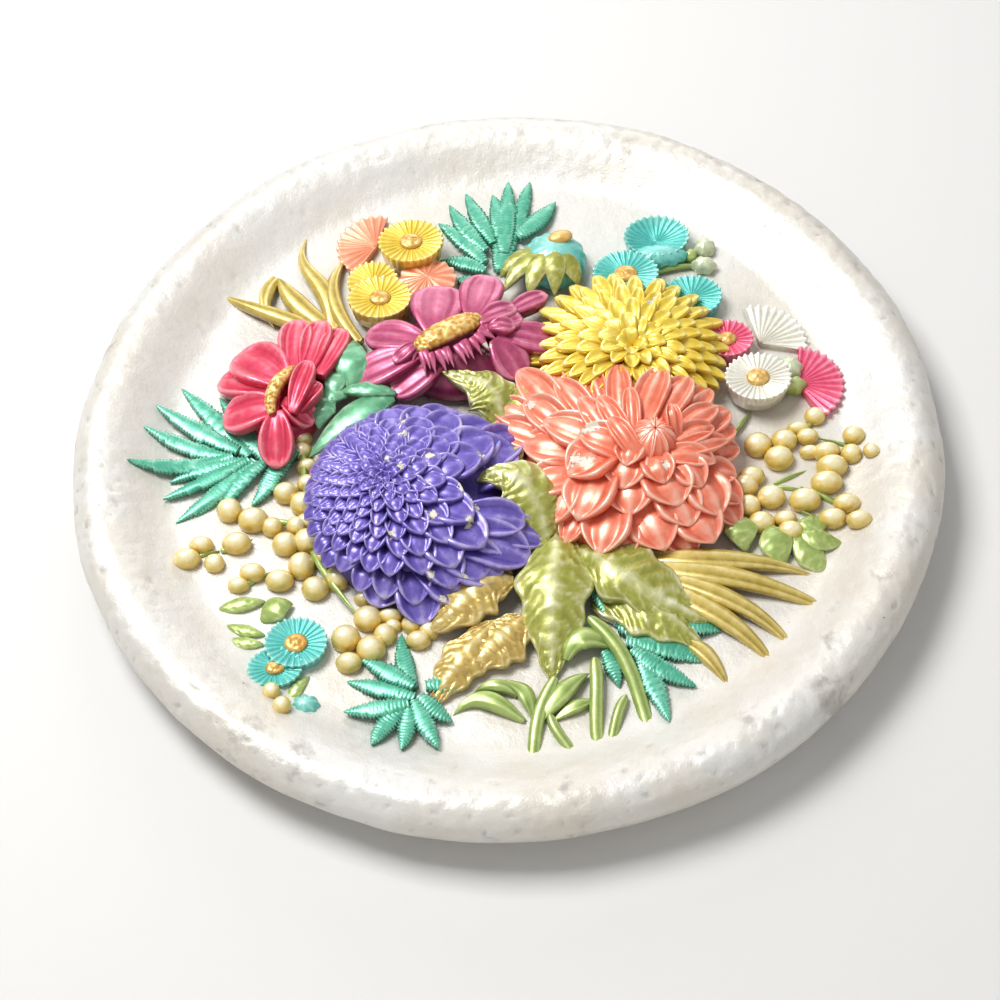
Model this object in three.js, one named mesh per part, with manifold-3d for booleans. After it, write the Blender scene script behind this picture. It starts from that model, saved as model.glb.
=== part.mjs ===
// A round cast-plaster wall plaque: a shallow dish with a rolled rim and a bouquet in high relief.
//
// The plaque is one casting, so it is one mesh. It is drawn lying on its back, in a working frame where u runs
// to the right, v up the wall and h out of the wall from the flat back. The finished group is stood up against
// the wall: the back is on the plane y = 0, the face looks along -Y, and +Z is up. All sizes are in mm.
import * as THREE from "three";
import { mergeVertices } from "three/addons/utils/BufferGeometryUtils.js";
import Module from "manifold-3d";

const wasm = await Module();
wasm.setup();

// ---- Driving dimensions -------------------------------------------------------------------------------------

const PLAQUE_RADIUS = 165;
const RIM_HEIGHT = 25.5;
const RIM_ROLL = 10;
const RIM_INNER_SLOPE = 28;
const FIELD_HEIGHT = 9.5;
const FIELD_RISE = 5;
const BACK_RADIUS = 151;
const DISH_SIDES = 48;

// Every piece of the bouquet is sunk this far into the dish, so that it grows out of it.
const SINK = 2.5;

const PLASTER = new THREE.MeshStandardMaterial({ color: 0xe4e1da, roughness: 0.5, metalness: 0.05 });

// ---- Shared shape tools -------------------------------------------------------------------------------------

const UP = new THREE.Vector3(0, 0, 1);
const point = ([u, v, h]) => new THREE.Vector3(u, v, h);
const mix = THREE.MathUtils.lerp;
const radians = THREE.MathUtils.degToRad;

// A geometry as a manifold-3d solid with its faces pointing out.
function solid(geometry) {
  const bare = geometry.clone();
  bare.deleteAttribute("normal");
  bare.deleteAttribute("uv");
  const merged = mergeVertices(bare, 1e-4);
  const vertProperties = new Float32Array(merged.attributes.position.array);
  const triVerts = new Uint32Array(merged.index.array);
  const made = new wasm.Manifold(new wasm.Mesh({ numProp: 3, vertProperties, triVerts }));
  if (made.volume() > 0) return made;
  return new wasm.Manifold(new wasm.Mesh({ numProp: 3, vertProperties, triVerts: triVerts.reverse() }));
}

// A closed skin over rings of points that all have as many points, drawn together to a point at both ends.
function skin(start, rings, end) {
  const sides = rings[0].length;
  const at = (ring, k) => 1 + ring * sides + (k % sides);
  const last = 1 + rings.length * sides;
  const index = [];
  for (let k = 0; k < sides; k++) {
    index.push(0, at(0, k + 1), at(0, k), last, at(rings.length - 1, k), at(rings.length - 1, k + 1));
    for (let r = 0; r + 1 < rings.length; r++) {
      index.push(at(r, k), at(r, k + 1), at(r + 1, k + 1), at(r, k), at(r + 1, k + 1), at(r + 1, k));
    }
  }
  return new THREE.BufferGeometry().setFromPoints([start, ...rings.flat(), end]).setIndex(index);
}

// The front surface of the dish: a gently hollow field that climbs to the crest of the rim.
function groundAt(u, v) {
  const reach = Math.hypot(u, v);
  const field = FIELD_HEIGHT + FIELD_RISE * (reach / 135) ** 2;
  const crest = PLAQUE_RADIUS - RIM_ROLL;
  return mix(field, RIM_HEIGHT, THREE.MathUtils.smoothstep(reach, crest - RIM_INNER_SLOPE, crest));
}

// ---- The dish -----------------------------------------------------------------------------------------------

// The dish is turned: a flat back, a rim rolled on an arc, and the hollow field.
function dish() {
  const profile = [[0, 0], [BACK_RADIUS, 0]];
  const [rollCentre, rollHeight] = [PLAQUE_RADIUS - RIM_ROLL, RIM_HEIGHT - RIM_ROLL];
  for (const turn of [-60, 0, 50, 90]) {
    const angle = radians(turn);
    profile.push([rollCentre + RIM_ROLL * Math.cos(angle), rollHeight + RIM_ROLL * Math.sin(angle)]);
  }
  for (const inset of [0.45, 1]) profile.push([rollCentre - RIM_INNER_SLOPE * inset]);
  profile.push([PLAQUE_RADIUS / 2], [0]);
  const points = profile.map(([r, h = groundAt(r, 0)]) => new THREE.Vector2(r, h));
  return new THREE.LatheGeometry(points, DISH_SIDES).rotateX(Math.PI / 2);
}

// ---- Petals, leaves and blades ------------------------------------------------------------------------------

// The widths of a petal or leaf on its way from root to tip, as [share of the length, share of the width].
const PLAN = {
  blade: [[0.3, 1], [0.7, 0.75]],
  leaf: [[0.28, 0.85], [0.68, 0.9]],
};

// A petal, leaf or blade over a route of [u, v, h] points. Its edges stand above its middle line by rim, or hang
// below it where rim is negative, as a share of half the width.
function petal(route, width, { plan = PLAN.leaf, thick = 4, rim = -0.3 } = {}) {
  const points = route.map(point);
  const [root, tip] = [points[0], points.at(-1)];
  const line = new THREE.CatmullRomCurve3(points);
  const rings = plan.map(([along, share]) => {
    const centre = line.getPoint(along);
    const ahead = line.getTangent(along);
    const across = UP.clone().cross(ahead).normalize();
    const out = ahead.cross(across).normalize();
    const half = (width * share) / 2;
    const place = (sideways, lift) =>
      centre.clone().addScaledVector(across, sideways).addScaledVector(out, lift);
    return [place(half, half * rim), place(0, 0), place(-half, half * rim), place(0, -thick)];
  });
  return skin(root, rings, tip);
}

// ---- The three domed flowers --------------------------------------------------------------------------------

// A domed flower is one skin in tiers. Each tier is a ring of pointed petals that overhangs the tier below it.
// The tiers are nested and not concentric: their middles move from the heart to the middle of the outline, so
// petals are shorter on the side that the heart is nearer to. A notch is how far the valleys between petals lie
// inside their tips, as a share of the reach.
const CORAL_DAHLIA = {
  heart: [54, -19], middle: [42, -13], reach: 45, top: 41, edge: 19, petals: 16, tiers: 5, notch: 0.13,
};

const PURPLE_DAHLIA = {
  heart: [-44, -28], middle: [-32, -29], reach: 43, top: 39, edge: 19, petals: 16, tiers: 5, notch: 0.1,
};

const YELLOW_MUM = {
  heart: [50, 27], middle: [49, 33], reach: 39, top: 32, edge: 18, petals: 20, tiers: 3, notch: 0.32,
};

// How far a tier's petals stand over the tier below, and how far the valleys between petals hang below the tips.
const TIER_STEP = 4;
const PETAL_CREASE = 1.4;

// How far each tier is undercut, as a share of the distance between tiers, and how full the dome's curve is.
const TIER_UNDERCUT = 0.35;
const DOME_FULLNESS = 0.6;
const FOOT_SHARE = 0.9;

function domedFlower({ heart, middle, reach, top, edge, petals, tiers, notch }) {
  const loop = (share, phase, spike, height, crease) =>
    Array.from({ length: 2 * petals }, (_, k) => {
      const isTip = (k + phase) % 2 === 0;
      const angle = (Math.PI * k) / petals;
      const out = reach * (share - (isTip ? 0 : spike));
      const [u, v] = [mix(heart[0], middle[0], share), mix(heart[1], middle[1], share)];
      return point([u + out * Math.cos(angle), v + out * Math.sin(angle), height - (isTip ? 0 : crease)]);
    });
  const foot = FIELD_HEIGHT - SINK;
  const gap = 1 / (tiers + 0.5);
  const loops = [loop(FOOT_SHARE, 0, 0, foot, 0)];
  for (let tier = 0; tier < tiers; tier++) {
    const share = 1 - tier * gap;
    const height = edge + (top - edge) * (1 - share ** 2) ** DOME_FULLNESS;
    loops.push(loop(share - TIER_UNDERCUT * gap, tier, 0, height - TIER_STEP, 0));
    loops.push(loop(share, tier, notch * share, height, PETAL_CREASE));
  }
  return skin(point([...middle, foot]), loops, point([...heart, top + 1]));
}

// ---- The two open flowers -----------------------------------------------------------------------------------

// Each petal is a width and a route from root to tip.
const MAGENTA_FLOWER = {
  hub: { at: [-18.5, 38, 29], size: [22, 9, 8], turn: 30 },
  body: { at: [-17, 42, 17], size: [50, 42, 20] },
  petals: [
    [22, [-20, 45, 27], [-23, 58, 27], [-25, 68, 23]],
    [16, [-12, 48, 27], [-8, 61, 27], [-5, 71, 23]],
    [15, [-6, 46, 27], [4, 54, 26], [12, 60, 21]],
    [15, [-4, 42, 27], [10, 45, 26], [21, 43, 21]],
    [14, [-8, 36, 27], [1, 32, 24], [10, 28, 19]],
    [15, [-14, 34, 26], [-10, 27, 23], [-6, 22, 18]],
    [17, [-25, 35, 25], [-33, 27, 23], [-41, 20, 18]],
    [14, [-31, 38, 27], [-43, 34, 26], [-56, 28, 20]],
    [16, [-30, 43, 28], [-40, 48, 27], [-49, 49, 22]],
    [20, [-24, 36, 28], [-17, 30, 29], [-9, 30, 26]],
  ],
};

const RED_FLOWER = {
  hub: { at: [-83.5, 22, 27], size: [21, 6, 7], turn: 68 },
  body: { at: [-84, 24, 15], size: [34, 36, 16] },
  petals: [
    [18, [-86, 28, 23], [-94, 37, 25], [-101, 44, 20]],
    [15, [-81, 30, 24], [-81, 44, 26], [-81, 56, 21]],
    [17, [-76, 25, 24], [-69, 40, 26], [-66, 54, 21]],
    [15, [-89, 24, 22], [-99, 30, 23], [-107, 33, 17]],
    [16, [-88, 18, 22], [-98, 17, 22], [-106, 15, 17]],
    [13, [-86, 15, 23], [-87, 4, 22], [-87, -6, 16]],
    [13, [-81, 20, 25], [-75, 25, 26], [-70, 33, 21]],
    [12, [-80, 18, 24], [-77, 12, 23], [-73, 9, 18]],
  ],
};

// An egg-shaped body about its middle, with its full size along each axis.
function egg({ at, size, turn = 0 }, sides = 8, rows = 4) {
  const ball = new THREE.SphereGeometry(0.5, sides, rows).rotateX(Math.PI / 2);
  return ball.scale(...size).rotateZ(radians(turn)).translate(...at);
}

function openFlower({ hub, body, petals }) {
  const leaves = petals.map(([width, ...route]) => petal(route, width, { thick: 7, rim: -0.18 }));
  return [egg(body, 8, 4), egg(hub, 8, 3), ...leaves];
}

// ---- Small daisies and fans ---------------------------------------------------------------------------------

// Round daisies as [u, v, height of the face, width, depth, has a button].
const DAISIES = [
  [-33, 94, 25, 26, 22, true],
  [-46, 67, 24, 25, 22, true],
  [-49, 79, 20, 20, 19, false],
  [-27, 78, 20, 22, 20, false],
  [66, 92, 21, 26, 20, false],
  [52, 74, 21, 26, 22, true],
  [77, 62, 20, 23, 19, false],
  [88, 38, 21, 20, 17, true],
  [97, 16, 24, 25, 22, true],
  [-79, -84, 18, 22, 19, true],
  [-87, -93, 17, 19, 15, true],
];
const DAISY_SIDES = 8;
const BUTTON_SHARE = 0.34;
const BUTTON_RELIEF = 1;

// A thick disc with a rounded shoulder and, on most, a raised button in the middle.
function daisy([u, v, height, width, depth, hasButton]) {
  const ringAt = (share, h) =>
    Array.from({ length: DAISY_SIDES }, (_, k) => {
      const angle = (2 * Math.PI * k) / DAISY_SIDES;
      return point([u + (width / 2) * share * Math.cos(angle), v + (depth / 2) * share * Math.sin(angle), h]);
    });
  const foot = groundAt(u, v) - SINK;
  const rings = [ringAt(0.9, foot), ringAt(1, height - 2), ringAt(0.85, height)];
  if (hasButton) rings.push(ringAt(BUTTON_SHARE, height + BUTTON_RELIEF));
  return skin(point([u, v, foot]), rings, point([u, v, hasButton ? height + 2 * BUTTON_RELIEF : height - 3]));
}

// Half-open flowers seen from the side: [u, v, height, reach, first angle, last angle] about the apex.
const FANS = [
  [-48, 99, 17, 16, 70, 240],
  [102, 38, 17, 18, -15, 105],
  [113, 18, 17, 17, -65, 80],
];
const FAN_RIBS = 7;

function fan([u, v, height, reach, first, last]) {
  const rib = (k, share, h) => {
    const angle = radians(mix(first, last, k / (FAN_RIBS - 1)));
    return point([u + reach * share * Math.cos(angle), v + reach * share * Math.sin(angle), h]);
  };
  const ring = (share, h) => [
    point([u, v, h]), ...Array.from({ length: FAN_RIBS }, (_, k) => rib(k, share, h)),
  ];
  const middle = (FAN_RIBS - 1) / 2;
  const foot = groundAt(u, v) - SINK;
  const rings = [ring(0.96, foot), ring(1, height - 1)];
  return skin(rib(middle, 0.5, foot), rings, rib(middle, 0.55, height + 1));
}

// ---- Berries and buds ---------------------------------------------------------------------------------------

// Berries as [u, v, width, depth]. They hang in two loose bunches, one on each side of the dahlias.
const BERRIES = [
  [-105, -24, 9.5, 9.5], [-96, -29, 11.5, 9.5], [-89, -32, 8, 7.5], [-84, -17, 9.5, 8.5], [-78, -22, 9, 9],
  [-76, -13, 8, 7.5], [-76, -5, 8.5, 6], [-78, 4, 8, 7], [-84, -40, 10, 9], [-76, -39, 10, 9.5],
  [-69, -46, 9, 9.5], [-65, -56, 9, 10], [-78, -50, 10, 10.5], [-73, -60, 10, 9], [-86, -56, 10.5, 8],
  [-96, -52, 9.5, 7], [-101, -57, 8, 5.5], [-102, -39, 11, 8], [-115, -39, 9, 6.5], [-120, -45, 10, 7.5],
  [-110, -47, 7.5, 7], [-54, -74, 10.5, 9.5], [-62, -82, 10.5, 10], [-53, -87, 10.5, 10],
  [-61, -92, 9.5, 7.5], [-48, -81, 8, 8.5], [-36, -84, 9, 7], [-32, -80, 8, 7], [95, -9, 10.5, 9.5],
  [105, -8, 10, 8.5], [102, -16, 11, 9.5], [111, -3, 9, 5], [118, 2, 8, 7], [120, -15, 10.5, 7],
  [121, -22, 12, 8.5], [118, -29, 12, 8.5], [109, -36, 12, 9], [91, -23, 10, 7.5], [88, -27, 10, 8.5],
  [97, -33, 10.5, 9], [88, -36, 9.5, 8.5], [92, -44, 10, 8.5], [102, -49, 10, 8], [118, -45, 10.5, 7.5],
  [124, -39, 10, 7], [127, -48, 9.5, 6.5], [131, -9, 8.5, 7], [129, -17, 8, 7.5], [136, -18, 6, 5.5],
  [85, 94, 9, 7], [85, 84, 10, 6.5], [111, 26, 8, 10], [-84, -110, 6.5, 6], [-77, -105, 10, 7],
];

// A berry with few faces is drawn larger by this much, so that it fills the round one's outline.
const BERRY_ALLOWANCE = 1;
const BERRY_RISE = 0.2;

function berry([u, v, width, depth]) {
  const size = [width, depth, (width + depth) / 2].map((full) => full + BERRY_ALLOWANCE);
  return egg({ at: [u, v, groundAt(u, v) + size[2] * BERRY_RISE], size }, 6, 3);
}

// ---- Ferns --------------------------------------------------------------------------------------------------

// Each fern is a star of leaflets about the foot of its rib: the tips in turn, with the notches between
// neighbours at a share of their reach.
const FERNS = [
  {
    foot: [-4, 92],
    tips: [[-17, 78], [-22, 92], [-22, 111], [-17, 120], [-10, 126], [1, 125], [4, 92], [4, 78]],
  },
  { foot: [10, 102], tips: [[12, 88], [-2, 92], [1, 112], [7, 130], [17, 131], [28, 119], [22, 100]] },
  {
    foot: [-100, 0],
    tips: [
      [-84, 12], [-96, 26], [-109, 30], [-125, 34], [-134, 25], [-138, 14], [-143, -3], [-128, -10],
      [-130, -18], [-125, -28], [-117, -25], [-109, -26], [-97, -22], [-90, -14], [-80, -8],
    ],
  },
  {
    foot: [-39, -107],
    tips: [
      [-34, -84], [-42, -80], [-54, -91], [-62, -99], [-63, -112], [-53, -127], [-43, -129], [-30, -129],
      [-25, -118], [-18, -105],
    ],
  },
  { foot: [43, -95], tips: [[40, -80], [54, -84], [72, -88], [64, -100], [61, -110], [50, -124], [38, -108]] },
  { foot: [31, -88], tips: [[35, -70], [37, -88], [34, -108], [26, -92], [23, -84]] },
];
const FERN_RELIEF = 3.5;
const FERN_EDGE = 1.8;
const FERN_NOTCH = 0.6;

function fern({ foot: [u, v], tips }) {
  const outline = tips.flatMap(([tipU, tipV], k) => {
    const [nextU, nextV] = tips[(k + 1) % tips.length];
    return [[tipU, tipV], [mix(u, (tipU + nextU) / 2, FERN_NOTCH), mix(v, (tipV + nextV) / 2, FERN_NOTCH)]];
  });
  const ground = groundAt(u, v);
  const sunk = outline.map(([pu, pv]) => point([pu, pv, ground - SINK]));
  const raised = outline.map(([pu, pv]) => point([pu, pv, groundAt(pu, pv) + FERN_EDGE]));
  return skin(point([u, v, ground - SINK]), [sunk, raised], point([u, v, ground + FERN_RELIEF]));
}

// ---- Blades, leaves and stems -------------------------------------------------------------------------------

// Each blade or leaf is a width and a route from root to tip.
const BLADES = [
  [5, [-66, 58, 16], [-70, 79, 17], [-75, 110, 14]],
  [5, [-56, 50, 17], [-65, 77, 17], [-60, 96, 14]],
  [5, [-73, 58, 16], [-94, 69, 16], [-110, 82, 14]],
  [6, [-68, 58, 16], [-78, 72, 17], [-87, 83, 17]],
  [6, [-87, 83, 17], [-89, 73, 18], [-91, 61, 15]],
  [9, [60, -62, 18], [88, -60, 18], [110, -70, 14]],
  [9, [62, -69, 18], [92, -71, 18], [117, -89, 15]],
  [7, [70, -72, 18], [89, -85, 17], [99, -105, 14]],
  [8, [64, -74, 18], [80, -88, 17], [90, -110, 14]],
  [6, [62, -92, 15], [68, -103, 15], [73, -112, 13]],
];

const LEAVES = [
  [27, [16, -52, 23], [12, -82, 20], [11, -104, 14]],
  [18, [22, -60, 20], [26, -74, 18], [22, -89, 14]],
  [16, [10, -58, 20], [4, -74, 19], [3, -88, 14]],
  [26, [27, -54, 22], [48, -64, 22], [68, -84, 15]],
  [17, [33, -70, 18], [46, -80, 18], [65, -95, 14]],
  [16, [-12, -82, 18], [-24, -94, 18], [-32, -111, 14]],
  [18, [0, -76, 18], [-10, -88, 18], [-20, -99, 14]],
  [20, [2, -66, 20], [-14, -74, 20], [-31, -76, 15]],
  [18, [-2, 8, 20], [2, 20, 25], [-23, 27, 24]],
  [18, [8, -12, 20], [-4, -22, 24], [-15, -28, 20]],
  [20, [2, -16, 22], [8, -32, 20], [12, -47, 15]],
  [16, [-60, 26, 17], [-59, 38, 19], [-57, 51, 16]],
  [14, [-66, 12, 16], [-67, 22, 18], [-70, 32, 16]],
  [11, [-46, 20, 18], [-58, 14, 18], [-74, 0, 15]],
  [16, [0, 78, 16], [12, 80, 20], [33, 72, 16]],
  [12, [2, 82, 16], [10, 76, 19], [12, 66, 16]],
  [12, [78, -42, 16], [84, -46, 17], [88, -54, 14]],
  [13, [84, -44, 16], [92, -51, 17], [97, -60, 14]],
  [8, [98, -54, 16], [106, -58, 16], [111, -64, 14]],
  [7, [98, -50, 16], [109, -53, 16], [118, -53, 14]],
  [7, [-92, -65, 14], [-100, -63, 15], [-109, -66, 13]],
  [8, [34, -94, 15], [24, -90, 16], [12, -99, 14]],
  [7, [2, -120, 14], [-12, -109, 15], [-24, -115, 13]],
  [7, [6, -119, 14], [14, -110, 15], [24, -102, 14]],
];

const STEMS = [
  [4.5, [10, -100, 15], [4, -118, 15], [2, -136, 13]],
  [3.5, [6, -114, 14], [11, -122, 14], [17, -135, 13]],
  [5, [27, -90, 15], [26, -112, 15], [26, -131, 13.5]],
  [3.5, [36, -104, 14], [32, -118, 14], [29, -130, 13]],
  [5, [22, -78, 16], [36, -96, 16], [42, -124, 13.5]],
  [5, [-42, 25, 18], [-52, 24, 18], [-63, 25, 17]],
  [4, [62, 85, 15], [72, 83, 15], [82, 84, 14]],
];

// ---- The casting --------------------------------------------------------------------------------------------

function bouquet() {
  const slim = ([width, ...route]) => petal(route, width, { plan: PLAN.blade, thick: 5, rim: -0.35 });
  const broad = ([width, ...route]) => petal(route, width, { thick: 6, rim: -0.22 });
  return [
    ...[CORAL_DAHLIA, PURPLE_DAHLIA, YELLOW_MUM].map(domedFlower),
    ...[MAGENTA_FLOWER, RED_FLOWER].flatMap(openFlower),
    egg({ at: [24, 88, 15], size: [25, 24, 24] }, 9, 5),
    ...DAISIES.map(daisy),
    ...FANS.map(fan),
    ...BERRIES.map(berry),
    ...FERNS.map(fern),
    ...[...BLADES, ...STEMS].map(slim),
    ...LEAVES.map(broad),
  ];
}

// The outermost shell of the dish and the bouquet joined, without the small hollows that petals shut in.
function casting() {
  const joined = wasm.Manifold.union([dish(), ...bouquet()].map(solid));
  const [whole] = joined.decompose().sort((a, b) => b.volume() - a.volume());
  const { vertProperties, triVerts } = whole.getMesh();
  const geometry = new THREE.BufferGeometry();
  geometry.setAttribute("position", new THREE.BufferAttribute(new Float32Array(vertProperties), 3));
  geometry.setIndex(Array.from(triVerts));
  return geometry;
}

const plaque = new THREE.Mesh(casting(), PLASTER);
plaque.name = "plaque";

const group = new THREE.Group();
group.add(plaque);
group.rotation.x = Math.PI / 2;

export default group;
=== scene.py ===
"""Fine relief and finish of a round cast-plaster wall plaque with a painted bouquet.

Every place is given in a working frame laid on the plaque's back: u runs to the right, v up the wall and h
out of the wall, in working millimetres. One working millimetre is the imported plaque's width over 330, so the
whole bouquet follows the frame. The plaque is one casting; the pieces are its differently painted areas.
"""

import sys

import logging
import math
from collections.abc import Callable, Sequence
from dataclasses import dataclass, field
from enum import Enum

import bpy
import numpy as np
from mathutils import Matrix, Vector


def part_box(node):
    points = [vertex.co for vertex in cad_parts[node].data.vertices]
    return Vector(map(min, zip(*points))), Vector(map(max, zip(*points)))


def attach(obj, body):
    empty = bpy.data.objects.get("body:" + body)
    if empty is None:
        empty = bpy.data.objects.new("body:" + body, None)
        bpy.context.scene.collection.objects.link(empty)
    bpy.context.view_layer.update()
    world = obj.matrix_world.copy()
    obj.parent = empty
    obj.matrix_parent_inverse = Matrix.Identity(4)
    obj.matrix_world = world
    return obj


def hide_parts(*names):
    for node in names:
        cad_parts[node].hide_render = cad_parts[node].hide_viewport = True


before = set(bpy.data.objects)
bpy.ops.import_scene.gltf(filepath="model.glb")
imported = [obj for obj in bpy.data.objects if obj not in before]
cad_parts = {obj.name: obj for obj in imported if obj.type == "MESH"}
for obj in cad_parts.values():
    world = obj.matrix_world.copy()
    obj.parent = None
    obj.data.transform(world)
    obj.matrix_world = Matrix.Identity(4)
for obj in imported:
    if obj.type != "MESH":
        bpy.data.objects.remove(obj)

log = logging.getLogger("plaque")

NODE = "plaque"
BODY = "root"
WORKING_WIDTH = 330.0
PLAQUE_RADIUS = 165.0
RIM_HEIGHT = 25.5
RIM_ROLL = 10.0
RIM_INNER_SLOPE = 28.0
FIELD_HEIGHT = 9.5
FIELD_RISE = 5.0
BACK_RADIUS = 151.0

WELD_STEPS = 500.0
CORE_DEPTH = 7.0
PETAL_ROOT_DROP = 1.5
PETAL_LEAN = 0.9
FERN_ABOVE = (3.4, 3.0, 1.0)
NICK_ANGLE = 105.0
NICK_SPREAD = 5.0
NICK_DEPTH = 1.6
FIRST_FRONT_ROW = 5

Array = np.ndarray
UP = np.array([0.0, 0.0, 1.0])


# ---- The working frame ---------------------------------------------------------------------------


@dataclass(frozen=True)
class WallFrame:
    """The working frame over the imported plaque.

    Attributes:
        unit: metres in one working millimetre.
        origin: the middle of the plaque's back in the row frame, in metres.
    """

    unit: float
    origin: tuple[float, float, float]

    @classmethod
    def from_box(cls, low: Sequence[float], high: Sequence[float]) -> "WallFrame":
        """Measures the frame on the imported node.

        Args:
            low: the node's lowest corner, in metres.
            high: its highest corner.

        Returns:
            The frame whose unit and origin fit that box.
        """
        unit = (high[0] - low[0]) / WORKING_WIDTH
        return cls(unit, ((low[0] + high[0]) / 2, high[1], (low[2] + high[2]) / 2))

    def to_row(self, points: Array) -> Array:
        """Working points (..., 3) as metres in the row frame: u goes to +X, v to +Z and h to -Y."""
        turned = np.stack([points[..., 0], -points[..., 2], points[..., 1]], axis=-1)
        return turned * self.unit + np.array(self.origin)


WALL = WallFrame.from_box(*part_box(NODE))


def smoothstep(low: float, high: float, value: Array) -> Array:
    """An s-curve from 0 at low to 1 at high: 3t^2 - 2t^3 of the clipped share t."""
    share = np.clip((value - low) / (high - low), 0.0, 1.0)
    return share * share * (3.0 - 2.0 * share)


def ground_height(u: Array, v: Array) -> Array:
    """Height of the dish's front: a parabola over the field, blended by an s-curve into the rim's crest."""
    reach = np.hypot(u, v)
    bowl = FIELD_HEIGHT + FIELD_RISE * (reach / 135.0) ** 2
    crest = PLAQUE_RADIUS - RIM_ROLL
    rise = smoothstep(crest - RIM_INNER_SLOPE, crest, reach)
    return bowl + (RIM_HEIGHT - bowl) * rise


# ---- Noise and mesh tools ------------------------------------------------------------------------


class LatticeNoise:
    """A smooth random field: random numbers on a cubic lattice, blended between by an s-curve."""

    SIZE = 32

    def __init__(self, seed: int) -> None:
        """Fills the lattice from a seed."""
        self.table = np.random.default_rng(seed).random((self.SIZE,) * 3)

    def at(self, points: Array, grain: float) -> Array:
        """The field from -1 to 1 at points, with one lattice cell every grain millimetres."""
        scaled = points / grain
        cell = np.floor(scaled).astype(int)
        share = scaled - cell
        share = share * share * (3.0 - 2.0 * share)
        total = np.zeros(points.shape[:-1])
        for corner in np.ndindex(2, 2, 2):
            index = tuple((cell[..., axis] + corner[axis]) % self.SIZE for axis in range(3))
            weight = np.prod(np.where(corner, share, 1.0 - share), axis=-1)
            total += self.table[index] * weight
        return total * 2.0 - 1.0

    def rough(self, points: Array, grain: float, octaves: int = 3) -> Array:
        """A sum of octaves, each half as coarse and half as strong as the one before."""
        return sum(self.at(points + 7.3 * k, grain / 2**k) / 2**k for k in range(octaves))


NOISE = LatticeNoise(41)


@dataclass
class Relief:
    """Grids of points gathered into one mesh, with a tone and a chip value on every vertex.

    Attributes:
        points: arrays of shape (count, 3).
        quads: arrays of shape (count, 4) that index the joined points.
        tones: 0 in a recess to 1 on a ridge, painting shade in recesses and highlight on ridges, partly also
            rubbed paint.
        size: how many points are gathered so far.
    """

    points: list[Array] = field(default_factory=list)
    quads: list[Array] = field(default_factory=list)
    tones: list[Array] = field(default_factory=list)
    size: int = 0

    def add(self, grid: Array, tone: Array) -> "Relief":
        """Adds a batch of grids, each closed round its columns and drawn to a point at both ends of its rows.

        Args:
            grid: points of shape (batch, rows, columns, 3).
            tone: tones of shape (batch, rows, columns).

        Returns:
            This relief, so that calls can be chained.
        """
        batch, rows, cols, _ = grid.shape
        index = np.arange(batch * rows * cols).reshape(batch, rows, cols)
        ahead = np.roll(index, -1, axis=2)
        quads = np.stack([index[:, :-1], ahead[:, :-1], ahead[:, 1:], index[:, 1:]], axis=-1)
        quads = quads.reshape(batch, -1, 4)
        flat = grid.reshape(-1, 3)
        a, b, c, d = (flat[quads[..., k]] for k in range(4))
        volume = np.einsum("bij,bij->b", a, np.cross(b, c) + np.cross(c, d)) / 6.0
        flipped = np.where((volume < 0)[:, None, None], quads[..., ::-1], quads)
        self.points.append(flat)
        self.quads.append(flipped.reshape(-1, 4) + self.size)
        self.tones.append(np.broadcast_to(tone, grid.shape[:3]).reshape(-1))
        self.size += len(flat)
        return self

    def mesh(self, name: str, chips: Sequence[tuple[float, float, float]] = ()) -> bpy.types.Mesh:
        """Welds seams and poles and writes the mesh.

        Args:
            name: the mesh's name.
            chips: knocked spots as (u, v, radius); the chip value falls from 1 in the middle to 0 at the
                radius.

        Returns:
            The mesh, in metres in the row frame, with the attributes "tone" and "chip".
        """
        points = np.concatenate(self.points)
        quads = np.concatenate(self.quads)
        tones = np.concatenate(self.tones)
        keys = np.round(points * WELD_STEPS).astype(np.int64)
        _, first, inverse = np.unique(keys, axis=0, return_index=True, return_inverse=True)
        quads = inverse.reshape(-1)[quads]
        points, tones = points[first], tones[first]
        fresh = quads != np.roll(quads, 1, axis=1)
        sides = fresh.sum(axis=1)
        quads, fresh, sides = quads[sides > 2], fresh[sides > 2], sides[sides > 2]
        chip = np.zeros(len(points))
        for u, v, radius in chips:
            chip = np.maximum(chip, 1.0 - np.hypot(points[:, 0] - u, points[:, 1] - v) / radius)

        mesh = bpy.data.meshes.new(name)
        mesh.vertices.add(len(points))
        mesh.vertices.foreach_set("co", WALL.to_row(points).ravel())
        mesh.loops.add(int(sides.sum()))
        mesh.loops.foreach_set("vertex_index", quads[fresh].astype(np.int32))
        mesh.polygons.add(len(sides))
        starts = np.concatenate([[0], np.cumsum(sides)[:-1]]).astype(np.int32)
        mesh.polygons.foreach_set("loop_start", starts)
        mesh.polygons.foreach_set("use_smooth", np.ones(len(sides), dtype=bool))
        mesh.update(calc_edges=True)
        mesh.validate()
        for label, values in (("tone", np.clip(tones, 0.0, 1.0)), ("chip", np.clip(chip, 0.0, 1.0))):
            layer = mesh.attributes.new(label, "FLOAT", "POINT")
            layer.data.foreach_set("value", values.astype(np.float32))
        return mesh


def place(mesh: bpy.types.Mesh, material: bpy.types.Material) -> bpy.types.Object:
    """Makes a piece of the casting from a mesh.

    Args:
        mesh: the mesh, already in its place.
        material: its finish.

    Returns:
        The piece, riding on the plaque's body and standing for the plaque's node.
    """
    piece = bpy.data.objects.new(mesh.name, mesh)
    bpy.context.scene.collection.objects.link(piece)
    mesh.materials.append(material)
    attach(piece, BODY)
    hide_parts(NODE)
    log.info("%s: %d faces", mesh.name, len(mesh.polygons))
    return piece


# ---- Petals, leaves and blades: one strip carried along many routes ------------------------------


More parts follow.
